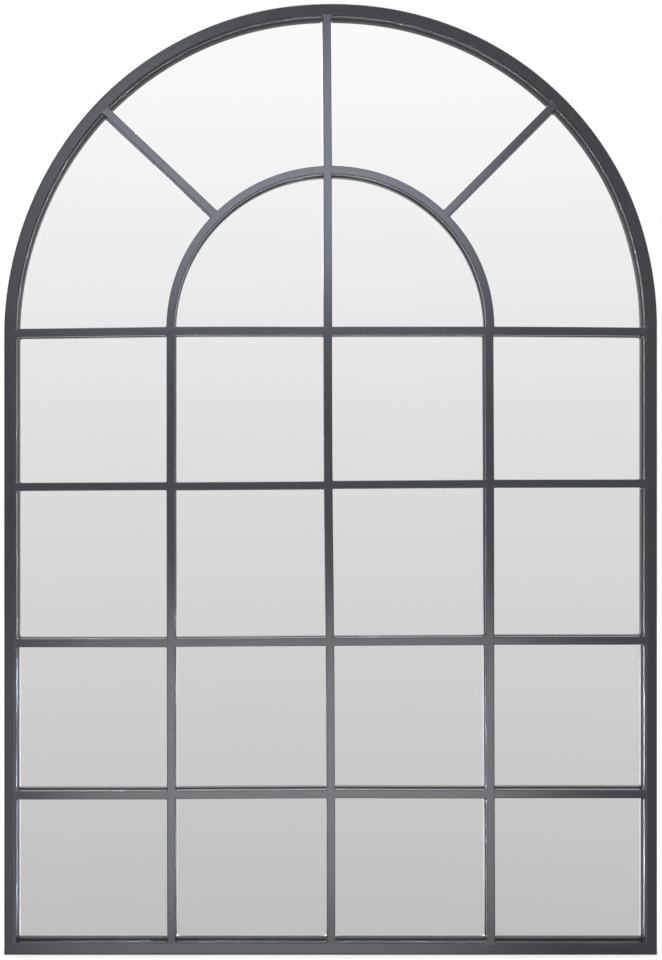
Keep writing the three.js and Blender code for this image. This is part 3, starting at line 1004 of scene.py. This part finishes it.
class WINDOWMIRROR_OT_lattice(bpy.types.Operator):
    """Sweeps each square bar of the lattice along its own middle line"""

    bl_idname = "window_mirror.lattice"
    bl_label = "Lattice bars"

    def execute(self, context):
        sizes = settings().metal
        rule = bar_rule()

        def profile(name, sides):
            section = rounded_section(
                BAR, BAR_DEPTH, sizes.bar_corner, steps=3, hold=0.35 * MM, sides=sides
            )
            return stand(name, profile_mesh(name, section, HALF_BAR, BAR_DEPTH / 2))

        level, upright = profile("level bar", 0.0), profile("upright bar", 0.4)
        for seed, (node, (path, behind)) in enumerate(lattice_paths(sizes).items()):
            y = FRONT + BAR_DEPTH / 2 + behind
            line = path_mesh(node, [(x, y, z) for x, z in path])
            mesh = rule.grow(
                node, line, Profile=upright if node.startswith("mullion") else level,
                Waver=sizes.waver, Waver_length=0.22, Seed=seed * 3.7,
                Material=finish("bar paint"),
            )
            hand_over(new_piece(f"painted_{node}", mesh), "graphite_paint", node)
        drop(level, upright)
        return {"FINISHED"}


# ------------------------------------------------------------------ welds


def weld_mesh(name, radius, edge_a, edge_b, depth):
    """A dressed fillet in the corner of two bars, open towards +X and +Z. Bar A lies below it
    and bar B to its left, each with its own rounded edge, which the fillet's rim follows."""
    arc_steps, rim_steps = 8, 3
    levels = [(90 * step / rim_steps, None) for step in range(rim_steps + 1)] + [(90, depth)]
    vertices = []
    for rim, deep in levels:
        keep = 1 - math.sin(math.radians(rim))
        drop = 1 - math.cos(math.radians(rim))
        vertices.append((-edge_b, deep or drop * (edge_a + edge_b) / 2, -edge_a))
        for step in range(arc_steps + 1):
            share = step / arc_steps
            turn = math.radians(90 * share)
            edge = edge_a * (1 - share) + edge_b * share
            x = radius * (1 - math.sin(turn)) - math.sin(turn) * edge * keep
            z = radius * (1 - math.cos(turn)) - math.cos(turn) * edge * keep
            vertices.append((x, deep or edge * drop, z))
    return closed_mesh(name, vertices, ring_faces(len(levels), arc_steps + 2))


def weld_places(sizes):
    """Every corner of the lattice as (place, turn, kind): 0 between bars, 1 and 2 at the frame."""
    places = []

    def corner(x, z, along_a, along_b, frame_a=False, frame_b=False):
        """A corner whose open quarter is spanned by the directions of its two walls."""
        a, b = Vector(along_a).normalized(), Vector(along_b).normalized()
        if a.x * b.y - a.y * b.x < 0:
            a, b, frame_a, frame_b = b, a, frame_b, frame_a
        kind = 2 if frame_a else 1 if frame_b else 0
        places.append(((x, FRONT + BEHIND_ONCE / 2, z), -math.atan2(a.y, a.x), kind))

    for row in range(len(ROWS)):
        for bay in range(len(BAYS)):
            for end, inward in ((0, 1), (1, -1)):
                upright = UPRIGHTS[bay + end]
                z = row_z(row, bay, end)
                x = -inward * INNER_RADIUS
                if upright:
                    x = mullion_x(upright, z) + inward * HALF_BAR
                for side in (-1, 1):
                    walls = (inward, 0), (0, side)
                    corner(x, z + side * HALF_BAR, *walls, frame_b=upright is None)

    for name in MULLION_LEANS:
        for side in (-1, 1):
            x = mullion_x(name, FRAME_FACE) + side * HALF_BAR
            corner(x, FRAME_FACE, (0, 1), (side, 0), frame_b=True)
            x = mullion_x(name, SPRING) + side * HALF_BAR
            corner(x, spring_z(x) - HALF_BAR, (0, -1), (side, 0))

    for side in (-1, 1):
        x = side * INNER_RADIUS
        corner(x, spring_z(x) + HALF_BAR, (-side, 0), (0, 1), frame_b=True)
        corner(x, spring_z(x) - HALF_BAR, (-side, 0), (0, -1), frame_b=True)
        middle = arch_point(ARCH_RADIUS, 0 if side > 0 else 180)[0]
        for out in (-1, 1):
            x = middle + out * HALF_BAR
            corner(x, spring_z(x) + HALF_BAR, (0, 1), (out, 0))
            if side > 0:
                x = crown_x(SPRING) + out * HALF_BAR
                corner(x, spring_z(x) + HALF_BAR, (0, 1), (out, 0))
                high = arch_point(ARCH_RADIUS - HALF_BAR, 90)[1]
                corner(crown_x(high) + out * HALF_BAR, high, (0, -1), (out, 0))

    for angle, foot_drift, head_drift in SPOKE_DRIFTS.values():
        turn = math.radians(angle)
        out = Vector((math.cos(turn), math.sin(turn)))
        aside = Vector((math.sin(turn), -math.cos(turn)))
        for side in (-1, 1):
            to_foot = aside * (foot_drift * MM + side * HALF_BAR)
            to_head = aside * (head_drift * MM + side * HALF_BAR)
            foot = Vector(arch_point(ARCH_RADIUS + HALF_BAR, angle)) + to_foot
            head = Vector(hoop_point(INNER_RADIUS, angle)) + to_head
            corner(*foot, out, aside * side)
            corner(*head, -out, aside * side, frame_b=True)
    return places


class WINDOWMIRROR_OT_welds(bpy.types.Operator):
    """Sets a dressed weld fillet into every corner of the lattice"""

    bl_idname = "window_mirror.welds"
    bl_label = "Weld fillets"

    def execute(self, context):
        sizes = settings().metal
        depth = BAR_DEPTH - 0.1 * MM
        bar, rim = sizes.bar_corner, sizes.frame_corner
        shapes = [
            stand(name, weld_mesh(name, radius, edge_a, edge_b, depth))
            for name, radius, edge_a, edge_b in (
                ("weld", sizes.bar_weld, bar, bar),
                ("weld on frame", sizes.frame_weld, bar, rim),
                ("weld under frame", sizes.frame_weld, rim, bar),
            )
        ]
        points = point_mesh("welds", weld_places(sizes))
        mesh = scatter_rule().grow(
            "welds", points, First=shapes[0], Second=shapes[1], Third=shapes[2], Uneven=0.14,
            Spin=0.0, Seed=4, Material=finish("bar paint"),
        )
        drop(*shapes)
        hand_over(new_piece("weld_fillets", mesh), "graphite_paint")
        return {"FINISHED"}


# ------------------------------------------------------------------ sheets


def arched_outline(gap, foot):
    """The frame's inner edge as built, drawn in by a gap, as [x, z] points."""
    radius = INNER_RADIUS - gap
    points = [(-radius, foot), (radius, foot)]
    for degrees in np.linspace(0, 180, 121):
        points.append(hoop_point(radius, degrees))
    return points


def sheet_mesh(name, levels):
    """A closed sheet through levels of (gap, foot, y, finish index of the faces after it)."""
    outlines = [arched_outline(gap, foot) for gap, foot, _, _ in levels]
    vertices = [(x, y, z) for outline, (_, _, y, _) in zip(outlines, levels) for x, z in outline]
    ring = len(outlines[0])
    indices = [level[3] for level in levels[:-1] for _ in range(ring)] + [0, levels[-1][3]]
    mesh = bpy.data.meshes.new(name)
    mesh.from_pydata(vertices, [], ring_faces(len(levels), ring))
    mesh.polygons.foreach_set("material_index", indices)
    return outward(mesh)


class WINDOWMIRROR_OT_mirror_sheet(bpy.types.Operator):
    """Builds the mirror sheet: silvering set back within a rim painted dark as shade, and a painted
    back
    """

    bl_idname = "window_mirror.mirror_sheet"
    bl_label = "Mirror sheet"

    def execute(self, context):
        sizes = settings().sheets
        front, back, foot = GLASS_LOW.y, GLASS_HIGH.y, GLASS_LOW.z
        gap, slope = sizes.glass_gap, sizes.edge_slope
        levels = [
            (gap + slope, foot + slope, front + sizes.silver_depth, 1),
            (gap, foot, front, 2),
            (gap, foot, back, 2),
        ]
        mesh = sheet_mesh("mirror sheet", levels)
        piece = new_piece("mirror_sheet", mesh, "silvered glass", "glass edge", "back paint")
        hand_over(piece, "silvered_glass", "mirror_plate")
        return {"FINISHED"}


class WINDOWMIRROR_OT_backing(bpy.types.Operator):
    """Builds the hardboard back and finishes the tape and blocks that pack the glass"""

    bl_idname = "window_mirror.backing"
    bl_label = "Backing board"

    def execute(self, context):
        sizes = settings().sheets
        low, high, foot = BOARD_LOW.y, BOARD_HIGH.y, BOARD_LOW.z
        gap, ease = sizes.board_gap, sizes.board_ease
        levels = [
            (gap + ease, foot + ease, low, 0),
            (gap, foot, low + ease, 0),
            (gap, foot, high - ease, 0),
            (gap + ease, foot + ease, high, 0),
        ]
        piece = new_piece("hardboard_back", sheet_mesh("hardboard", levels), "hardboard")
        hand_over(piece, "fibreboard", "backing_board")
        for start, finish_name in (("foam_tape", "foam"), ("setting_block", "rubber")):
            for node in nodes_named(start):
                frame["nodes"][node].data.materials[0] = finish(finish_name)
        return {"FINISHED"}


# ------------------------------------------------------------------ clips and screws


def quarter_round(middle_out, out, middle_along, along):
    """A quarter of an ellipse as (radius, along) points, from past its rim to its crest."""
    turns = [math.radians(degrees) for degrees in range(15, 91, 15)]
    return [
        (middle_out + out * math.cos(turn), middle_along + along * math.sin(turn))
        for turn in turns
    ]


def frame_place(node):
    """Where a fastening sits on the frame: its middle [x, z] as built and the frame's angle."""
    low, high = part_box(node)
    x, z = (low.x + high.x) / 2, (low.z + high.z) / 2
    if z < FRAME_FACE:
        return x, z, 270
    if z <= SPRING:
        return x, z, 0 if x > 0 else 180
    angle = math.degrees(math.atan2(z - SPRING, x))
    return *hoop_point(math.hypot(x, z - SPRING), angle), angle


def screw_mesh(sizes):
    """A pan head with a cross recess on a plain shank. The head rests on Y = 0, and the bare
    numbers are shares of its radius and height."""
    radius = (SCREW_HIGH.x - SCREW_LOW.x) / 2
    height = SCREW_HIGH.y - CLIP_HIGH.y
    shank, end = radius * 0.51, -4 * MM
    rim = height * 0.32
    profile = [(0, end), (shank, end), (shank, 0), (radius, 0), (radius, rim)]
    profile += quarter_round(radius * 0.62, radius * 0.38, rim, height * 0.66)
    profile += [(radius * 0.30, height), (0, height)]
    head = turned_mesh("screw", profile, sides=32)
    recess = bpy.data.meshes.new("recess")
    shape = bmesh.new()
    for turn in (0, math.pi / 2):
        made = bmesh.ops.create_cube(shape, size=1)["verts"]
        for vertex in made:
            taper = 0.45 if vertex.co.y < 0 else 1.0
            x, y, z = vertex.co
            x, z = x * radius * 1.05 * taper, z * radius * 0.21
            vertex.co = Vector((x, y * sizes.recess * 2 + height, z))
        bmesh.ops.rotate(shape, verts=made, cent=(0, 0, 0), matrix=Matrix.Rotation(turn, 3, "Y"))
    shape.to_mesh(recess)
    shape.free()
    body, tool = stand("screw", head), stand("recess", recess)
    cutter = body.modifiers.new("recess", "BOOLEAN")
    cutter.operation, cutter.object, cutter.solver = "DIFFERENCE", tool, "EXACT"
    cutter.use_self = True
    graph = bpy.context.evaluated_depsgraph_get()
    mesh = bpy.data.meshes.new_from_object(body.evaluated_get(graph))
    drop(body, tool)
    return outward(mesh)


def clip_mesh(sizes):
    """An offset clip: X runs inward from the frame's outer edge, and Z along the frame. Its foot
    lies on the frame's back, its leg drops past the inner edge and its tongue lies on the board."""
    thickness = sizes.sheet_metal
    width = CLIP_HIGH.z - CLIP_LOW.z
    foot_start = OUTER_RADIUS - CLIP_HIGH.x
    tongue_end = OUTER_RADIUS - CLIP_LOW.x
    lift = CLIP_HIGH.y - thickness / 2
    drop_height = (CLIP_HIGH.y - CLIP_LOW.y) - thickness
    end, clear_of_frame = 0.8 * MM, 0.5 * MM
    leg = FRAME_FACE + clear_of_frame + thickness / 2
    bend = min(sizes.clip_bend, drop_height / 2)
    low = lift - drop_height
    line = [(foot_start, lift, 0.0), (foot_start + end, lift, 0.0)]
    turns = np.linspace(0, math.pi / 2, 7)
    for turn in turns:
        x, y = leg - bend + bend * math.sin(turn), lift - bend + bend * math.cos(turn)
        line.append((x, y, -turn))
    for turn in turns[::-1]:
        x, y = leg + bend - bend * math.sin(turn), low + bend - bend * math.cos(turn)
        line.append((x, y, -turn))
    line += [(tongue_end - end, low, 0.0), (tongue_end, low, 0.0)]
    section = rounded_section(width, thickness, sizes.strip_edge, steps=2, hold=0.3 * MM)
    stations = []
    for index, (x, y, heading) in enumerate(line):
        narrow = 0.94 if index in (0, len(line) - 1) else 1.0

        def station(across, deep, x=x, y=y, heading=heading, narrow=narrow):
            out = deep - thickness / 2
            z = (across - width / 2) * narrow
            return x - out * math.sin(heading), y + out * math.cos(heading), z

        stations.append(station)
    return swept_mesh("clip", section, stations)


def nodes_named(*starts):
    """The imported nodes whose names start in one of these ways."""
    return [node for node in frame["nodes"] if node.startswith(starts)]


def scattered(name, shape_mesh, nodes, slot, finish_name, y=0.0, inward=0.0, spin=0.0, seed=0):
    """One mesh of a shape stood at each node's place on the frame, turned inward. A clip's
    place is that of its screw."""
    places = []
    for node in nodes:
        x, z, angle = frame_place(node.replace("board_clip", "clip_screw"))
        turn = math.radians(angle)
        x, z = x + inward * math.cos(turn), z + inward * math.sin(turn)
        places.append(((x, y, z), math.pi - turn, 0))
    shape = stand(name, shape_mesh)
    mesh = scatter_rule().grow(
        name, point_mesh(name, places), First=shape, Second=shape, Third=shape, Uneven=0.0,
        Spin=spin, Seed=seed, Material=finish(finish_name),
    )
    drop(shape)
    hand_over(new_piece(name, mesh), slot, *nodes)


class WINDOWMIRROR_OT_clips(bpy.types.Operator):
    """Stands the offset clips on the frame's back"""

    bl_idname = "window_mirror.clips"
    bl_label = "Board clips"

    def execute(self, context):
        scattered(
            "plated_clips", clip_mesh(settings().hardware), nodes_named("board_clip"),
            "zinc_plate", "zinc", inward=FRAME_MIDDLE,
        )
        return {"FINISHED"}


class WINDOWMIRROR_OT_screws(bpy.types.Operator):
    """Drives a cross-headed screw through each clip and strap hole"""

    bl_idname = "window_mirror.screws"
    bl_label = "Screws"

    def execute(self, context):
        nodes = nodes_named("clip_screw", "strap_screw")
        shape = screw_mesh(settings().hardware)
        scattered(
            "plated_screws", shape, nodes, "zinc_plate", "zinc", y=CLIP_HIGH.y, spin=0.8, seed=7
        )
        return {"FINISHED"}


# ------------------------------------------------------------------ hangers and bumpers


def strap_mesh(axis, sizes):
    """A strap with a round lower end whose upper end rolls into an eye round the ring."""
    thickness = sizes.sheet_metal
    width = STRAP_HIGH.x - STRAP_LOW.x
    middle = axis.y - FRAME_BACK - thickness / 2
    low_end = STRAP_LOW.z - axis.z
    cap, blunt = width / 2, 0.02
    line = []
    for share in np.linspace(0, 1, 9):
        turn = share * math.pi / 2
        half = blunt + (1 - blunt) * math.sin(turn)
        line.append((-middle, low_end + cap * (1 - math.cos(turn)), 0.0, half))
    line.append((-middle, low_end / 2, 0.0, 1.0))
    rolled = 285
    for degrees in np.linspace(0, rolled, 25):
        turn = math.radians(degrees)
        line.append((-middle * math.cos(turn), middle * math.sin(turn), turn, 1.0))
    section = rounded_section(width, thickness, sizes.strip_edge, steps=2, hold=0.3 * MM)
    stations = []
    for y, z, turn, half in line:

        def station(across, deep, y=y, z=z, turn=turn, half=half):
            out = thickness / 2 - deep
            return (
                axis.x + (across - width / 2) * half,
                axis.y + y - out * math.cos(turn),
                axis.z + z + out * math.sin(turn),
            )

        stations.append(station)
    return swept_mesh("strap", section, stations)


def ring_path(axis, sizes):
    """The middle line of the D ring, hanging from its eye."""
    half = (RING_HIGH.x - RING_LOW.x) / 2 - sizes.wire / 2
    bend = 1.5 * MM
    bottom = RING_LOW.z + sizes.wire / 2 - axis.z
    arcs = [
        (half - bend, -bend, bend, 90, 0, 6),
        (0, bottom + half, half, 0, -180, 28),
        (bend - half, -bend, bend, 180, 90, 6),
    ]
    points = []
    for x, z, radius, start, end, steps in arcs:
        for step in range(steps + 1):
            turn = math.radians(start + (end - start) * step / steps)
            along, up = x + radius * math.cos(turn), z + radius * math.sin(turn)
            points.append((axis.x + along, axis.y, axis.z + up))
    return points


class WINDOWMIRROR_OT_hangers(bpy.types.Operator):
    """Builds the two rolled-eye straps and the rings that swing in them"""

    bl_idname = "window_mirror.hangers"
    bl_label = "Hangers"

    def execute(self, context):
        sizes = settings().hardware
        rule = bar_rule()
        radius = sizes.wire / 2
        turns = np.linspace(0, 2 * math.pi, 20, endpoint=False)
        outline = [(radius * math.cos(turn), radius * math.sin(turn), 0.0) for turn in turns]
        wire = stand("ring wire", profile_mesh("ring wire", outline, 0, 0))
        for body, axis in RING_AXIS.items():
            side = body.split("_")[0]
            strap = new_piece(f"plated_strap_{side}", strap_mesh(axis, sizes), "zinc")
            hand_over(strap, "zinc_plate", f"hanger_strap_{side}")
            path = path_mesh("ring", ring_path(axis, sizes), closed=True)
            mesh = rule.grow(
                f"ring {side}", path, Profile=wire, Waver=0.0, Waver_length=0.1, Seed=1.0,
                Material=finish("zinc"),
            )
            ring = new_piece(f"plated_ring_{side}", mesh)
            hand_over(ring, "zinc_plate", f"hanger_ring_{side}", body=body)
        drop(wire)
        return {"FINISHED"}


class WINDOWMIRROR_OT_bumpers(bpy.types.Operator):
    """Sticks the four rubber bumpers on the frame's back"""

    bl_idname = "window_mirror.bumpers"
    bl_label = "Wall bumpers"

    def execute(self, context):
        sizes = settings().hardware
        radius = (BUMPER_HIGH.x - BUMPER_LOW.x) / 2
        height = BUMPER_HIGH.y - BUMPER_LOW.y
        rim = sizes.bumper_round
        wall, dimple = radius * 0.985, height - 0.35 * MM
        profile = [(0, 0), (radius * 0.97, 0), (radius, 0.4 * MM), (wall, height - rim)]
        profile += quarter_round(wall - rim, rim, height - rim, rim)
        profile += [(radius * 0.45, height), (radius * 0.38, dimple), (0, dimple)]
        shape = turned_mesh("bumper", profile, sides=40)
        nodes = nodes_named("wall_bumper")
        scattered("rubber_bumpers", shape, nodes, "black_rubber", "rubber", y=FRAME_BACK)
        return {"FINISHED"}


# ------------------------------------------------------------------ the stage


def area_lamp(name, place, aim, width, height, strength, sets=None):
    """A soft card of light. Strength 1 looks white. Given a pair of sets, it lights only the
    first and is shaded only by the second."""
    lamp = bpy.data.lights.new(name, "AREA")
    lamp.shape, lamp.size, lamp.size_y = "RECTANGLE", width, height
    lamp.energy = strength * math.pi * width * height
    card = stand(name, lamp)
    card.location = place
    card.rotation_euler = (Vector(aim) - Vector(place)).to_track_quat("-Z", "Y").to_euler()
    card.visible_camera = False
    if sets:
        card.light_linking.receiver_collection, card.light_linking.blocker_collection = sets
    return card


def room_light(strength):
    """An even room for the surfaces, and for gloss and glass a sweep of grey that lightens
    upwards in front of the mirror and is white behind it."""
    world = bpy.data.worlds.new("studio")
    bpy.context.scene.world = world
    world.use_nodes = True
    world.node_tree.nodes.clear()
    nodes = Nodes(world.node_tree)
    ray = nodes.node("ShaderNodeLightPath")
    seen = Value(nodes, ray.outputs["Is Camera Ray"])
    glossy, clear = (
        Value(nodes, ray.outputs[name]) for name in ("Is Glossy Ray", "Is Transmission Ray")
    )
    heading = nodes.value("ShaderNodeTexCoord", output="Generated")
    parts = nodes.node("ShaderNodeSeparateXYZ", None, {0: heading})
    up = Value(nodes, parts.outputs["Z"])
    behind = Value(nodes, parts.outputs["Y"])
    sweep = nodes.value(
        "ShaderNodeValToRGB",
        {"stops": [(0.0, 0.36), (0.3, 0.51), (0.5, 0.77), (0.65, 1.02), (0.8, 1.06)]},
        {"Fac": up * 0.5 + 0.5}, "Color",
    )
    white = (1, 1, 1)
    reflected = nodes.mixed(nodes.band(behind, -0.05, 0.45), sweep, white)
    tone = nodes.mixed(glossy.most(clear), (strength,) * 3, reflected)
    tone = nodes.mixed(seen, tone, white)
    background = nodes.node("ShaderNodeBackground", None, {"Color": tone, "Strength": 1.0})
    nodes.node("ShaderNodeOutputWorld", None, {"Surface": Value(nodes, background.outputs[0])})


def pale_floor():
    """A plain pale floor that keeps the shadow and that gloss looks straight through."""
    finish = Finish("pale floor")
    grain = finish.noise(3, 3)
    tone = finish.mixed(grain * 0.2, (0.97, 0.97, 0.97), (0.94, 0.94, 0.94))
    seen = finish.value("ShaderNodeLightPath", output="Is Camera Ray")
    glow = finish.mixed(seen, (0, 0, 0), (0.25, 0.25, 0.25))
    finish.set(Base_Color=tone, Roughness=0.9, Specular_IOR_Level=0.0)
    finish.set(Emission_Color=glow, Emission_Strength=1.0)
    mesh = bpy.data.meshes.new("floor")
    half = 4.0
    corners = [(-half, -half, 0), (half, -half, 0), (half, half, 0), (-half, half, 0)]
    mesh.from_pydata(corners, [], [(0, 1, 2, 3)])
    mesh.materials.append(finish.material)
    floor = stand("floor", mesh)
    floor.visible_glossy = False
    floor.visible_transmission = False


class WINDOWMIRROR_OT_stage(bpy.types.Operator):
    """Sets the camera, the floor, the room and the lamps"""

    bl_idname = "window_mirror.stage"
    bl_label = "Stage"

    def execute(self, context):
        stage = settings().stage
        scene = context.scene
        scene.view_settings.view_transform = "Standard"
        data = bpy.data.cameras.new("camera")
        data.sensor_width, data.lens = 36, stage.lens
        aside = stage.picture_side - stage.camera_side
        data.shift_x = aside * stage.lens / (data.sensor_width * stage.camera_distance)
        camera = stand("camera", data)
        camera.location = (stage.camera_side, FRONT - stage.camera_distance, stage.camera_height)
        camera.rotation_euler = (math.pi / 2, 0, 0)
        scene.camera = camera
        room_light(stage.room)
        pale_floor()

        frame_set, bar_set, painted = (
            bpy.data.collections.new(name) for name in ("frame", "bars", "painted metal")
        )
        for piece in scene.objects:
            if piece.name.startswith(("painted_", "weld_")):
                painted.objects.link(piece)
                of_frame = piece.name in ("painted_hoop", "painted_rail")
                (frame_set if of_frame else bar_set).objects.link(piece)
        bars, rims, all_metal = (bar_set, painted), (frame_set, painted), (painted, painted)
        cool, plain = (0.90, 0.96, 1.12), (0.99, 1.0, 1.04)
        full, part = stage.card, stage.card * stage.frame_share
        for name, sets, across, up, strength, tint in (
            ("upper card, bars", bars, (-0.33, 0.19), (0.23, 0.55), full, cool),
            ("lower card, bars", bars, (-0.33, 0.25), (-0.55, -0.17), full * 0.88, plain),
            ("upper card, frame", rims, (-0.36, -0.12), (0.20, 0.55), part, cool),
            ("lower card, frame", rims, (-0.35, 0.18), (-0.66, -0.20), part * 1.25, plain),
        ):
            self.card(stage, name, sets, across, up, strength, tint)
        for name, up, strength in (
            ("upper image", (0.23, 0.55), 1.6),
            ("middle image", (-0.17, 0.23), 0.5),
            ("lower image", (-0.55, -0.17), 2.3),
        ):
            self.card(stage, name, all_metal, (-0.33, 0.2), up, strength, cool, image=True)
        area_lamp("overhead", (-0.5, -0.6, 2.6), (0, 0, 0.4), 1.8, 1.8, stage.overhead)
        area_lamp("back fill", (0.8, 2.4, 1.9), (0, 0, 0.5), 1.6, 1.2, stage.overhead)
        return {"FINISHED"}

    @staticmethod
    def card(stage, name, sets, across, up, strength, tint, image=False):
        """A card in the camera's plane that flat front faces show between the given places
        across the mirror and up from the camera, or its image behind the silver, which the
        bars' sides show."""
        width, height = 2 * (across[1] - across[0]), 2 * (up[1] - up[0])
        x = across[0] + across[1] - stage.camera_side
        z = stage.camera_height + up[0] + up[1]
        y = FRONT - stage.camera_distance
        if image:
            y = 2 * (GLASS_LOW.y + settings().sheets.silver_depth) - y
        lamp = area_lamp(name, (x, y, z), (x, 0, z), width, height, strength, sets)
        lamp.data.color = tint
        lamp.data.cycles.use_multiple_importance_sampling = not image


# ------------------------------------------------------------------ panel and registration

STEPS = (
    WINDOWMIRROR_OT_frame,
    WINDOWMIRROR_OT_lattice,
    WINDOWMIRROR_OT_welds,
    WINDOWMIRROR_OT_mirror_sheet,
    WINDOWMIRROR_OT_backing,
    WINDOWMIRROR_OT_clips,
    WINDOWMIRROR_OT_screws,
    WINDOWMIRROR_OT_hangers,
    WINDOWMIRROR_OT_bumpers,
    WINDOWMIRROR_OT_stage,
)


class WINDOWMIRROR_PT_pieces(bpy.types.Panel):
    """Lists the pieces of the window mirror"""

    bl_idname = "WINDOWMIRROR_PT_pieces"
    bl_label = "Window Mirror"
    bl_space_type = "VIEW_3D"
    bl_region_type = "UI"
    bl_category = "Window Mirror"

    def draw(self, context):
        for step in STEPS:
            self.layout.operator(step.bl_idname)


CLASSES = (
    MetalSizes, SheetSizes, HardwareSizes, FinishColours, StageSettings, WindowMirrorSettings,
    *STEPS, WINDOWMIRROR_PT_pieces,
)


def register():
    for item in CLASSES:
        bpy.utils.register_class(item)
    bpy.types.Scene.window_mirror = PointerProperty(type=WindowMirrorSettings)


def unregister():
    del bpy.types.Scene.window_mirror
    for item in reversed(CLASSES):
        bpy.utils.unregister_class(item)


def main():
    register()
    for step in STEPS:
        group, name = step.bl_idname.split(".")
        getattr(getattr(bpy.ops, group), name)()


if __name__ == "__main__":
    main()
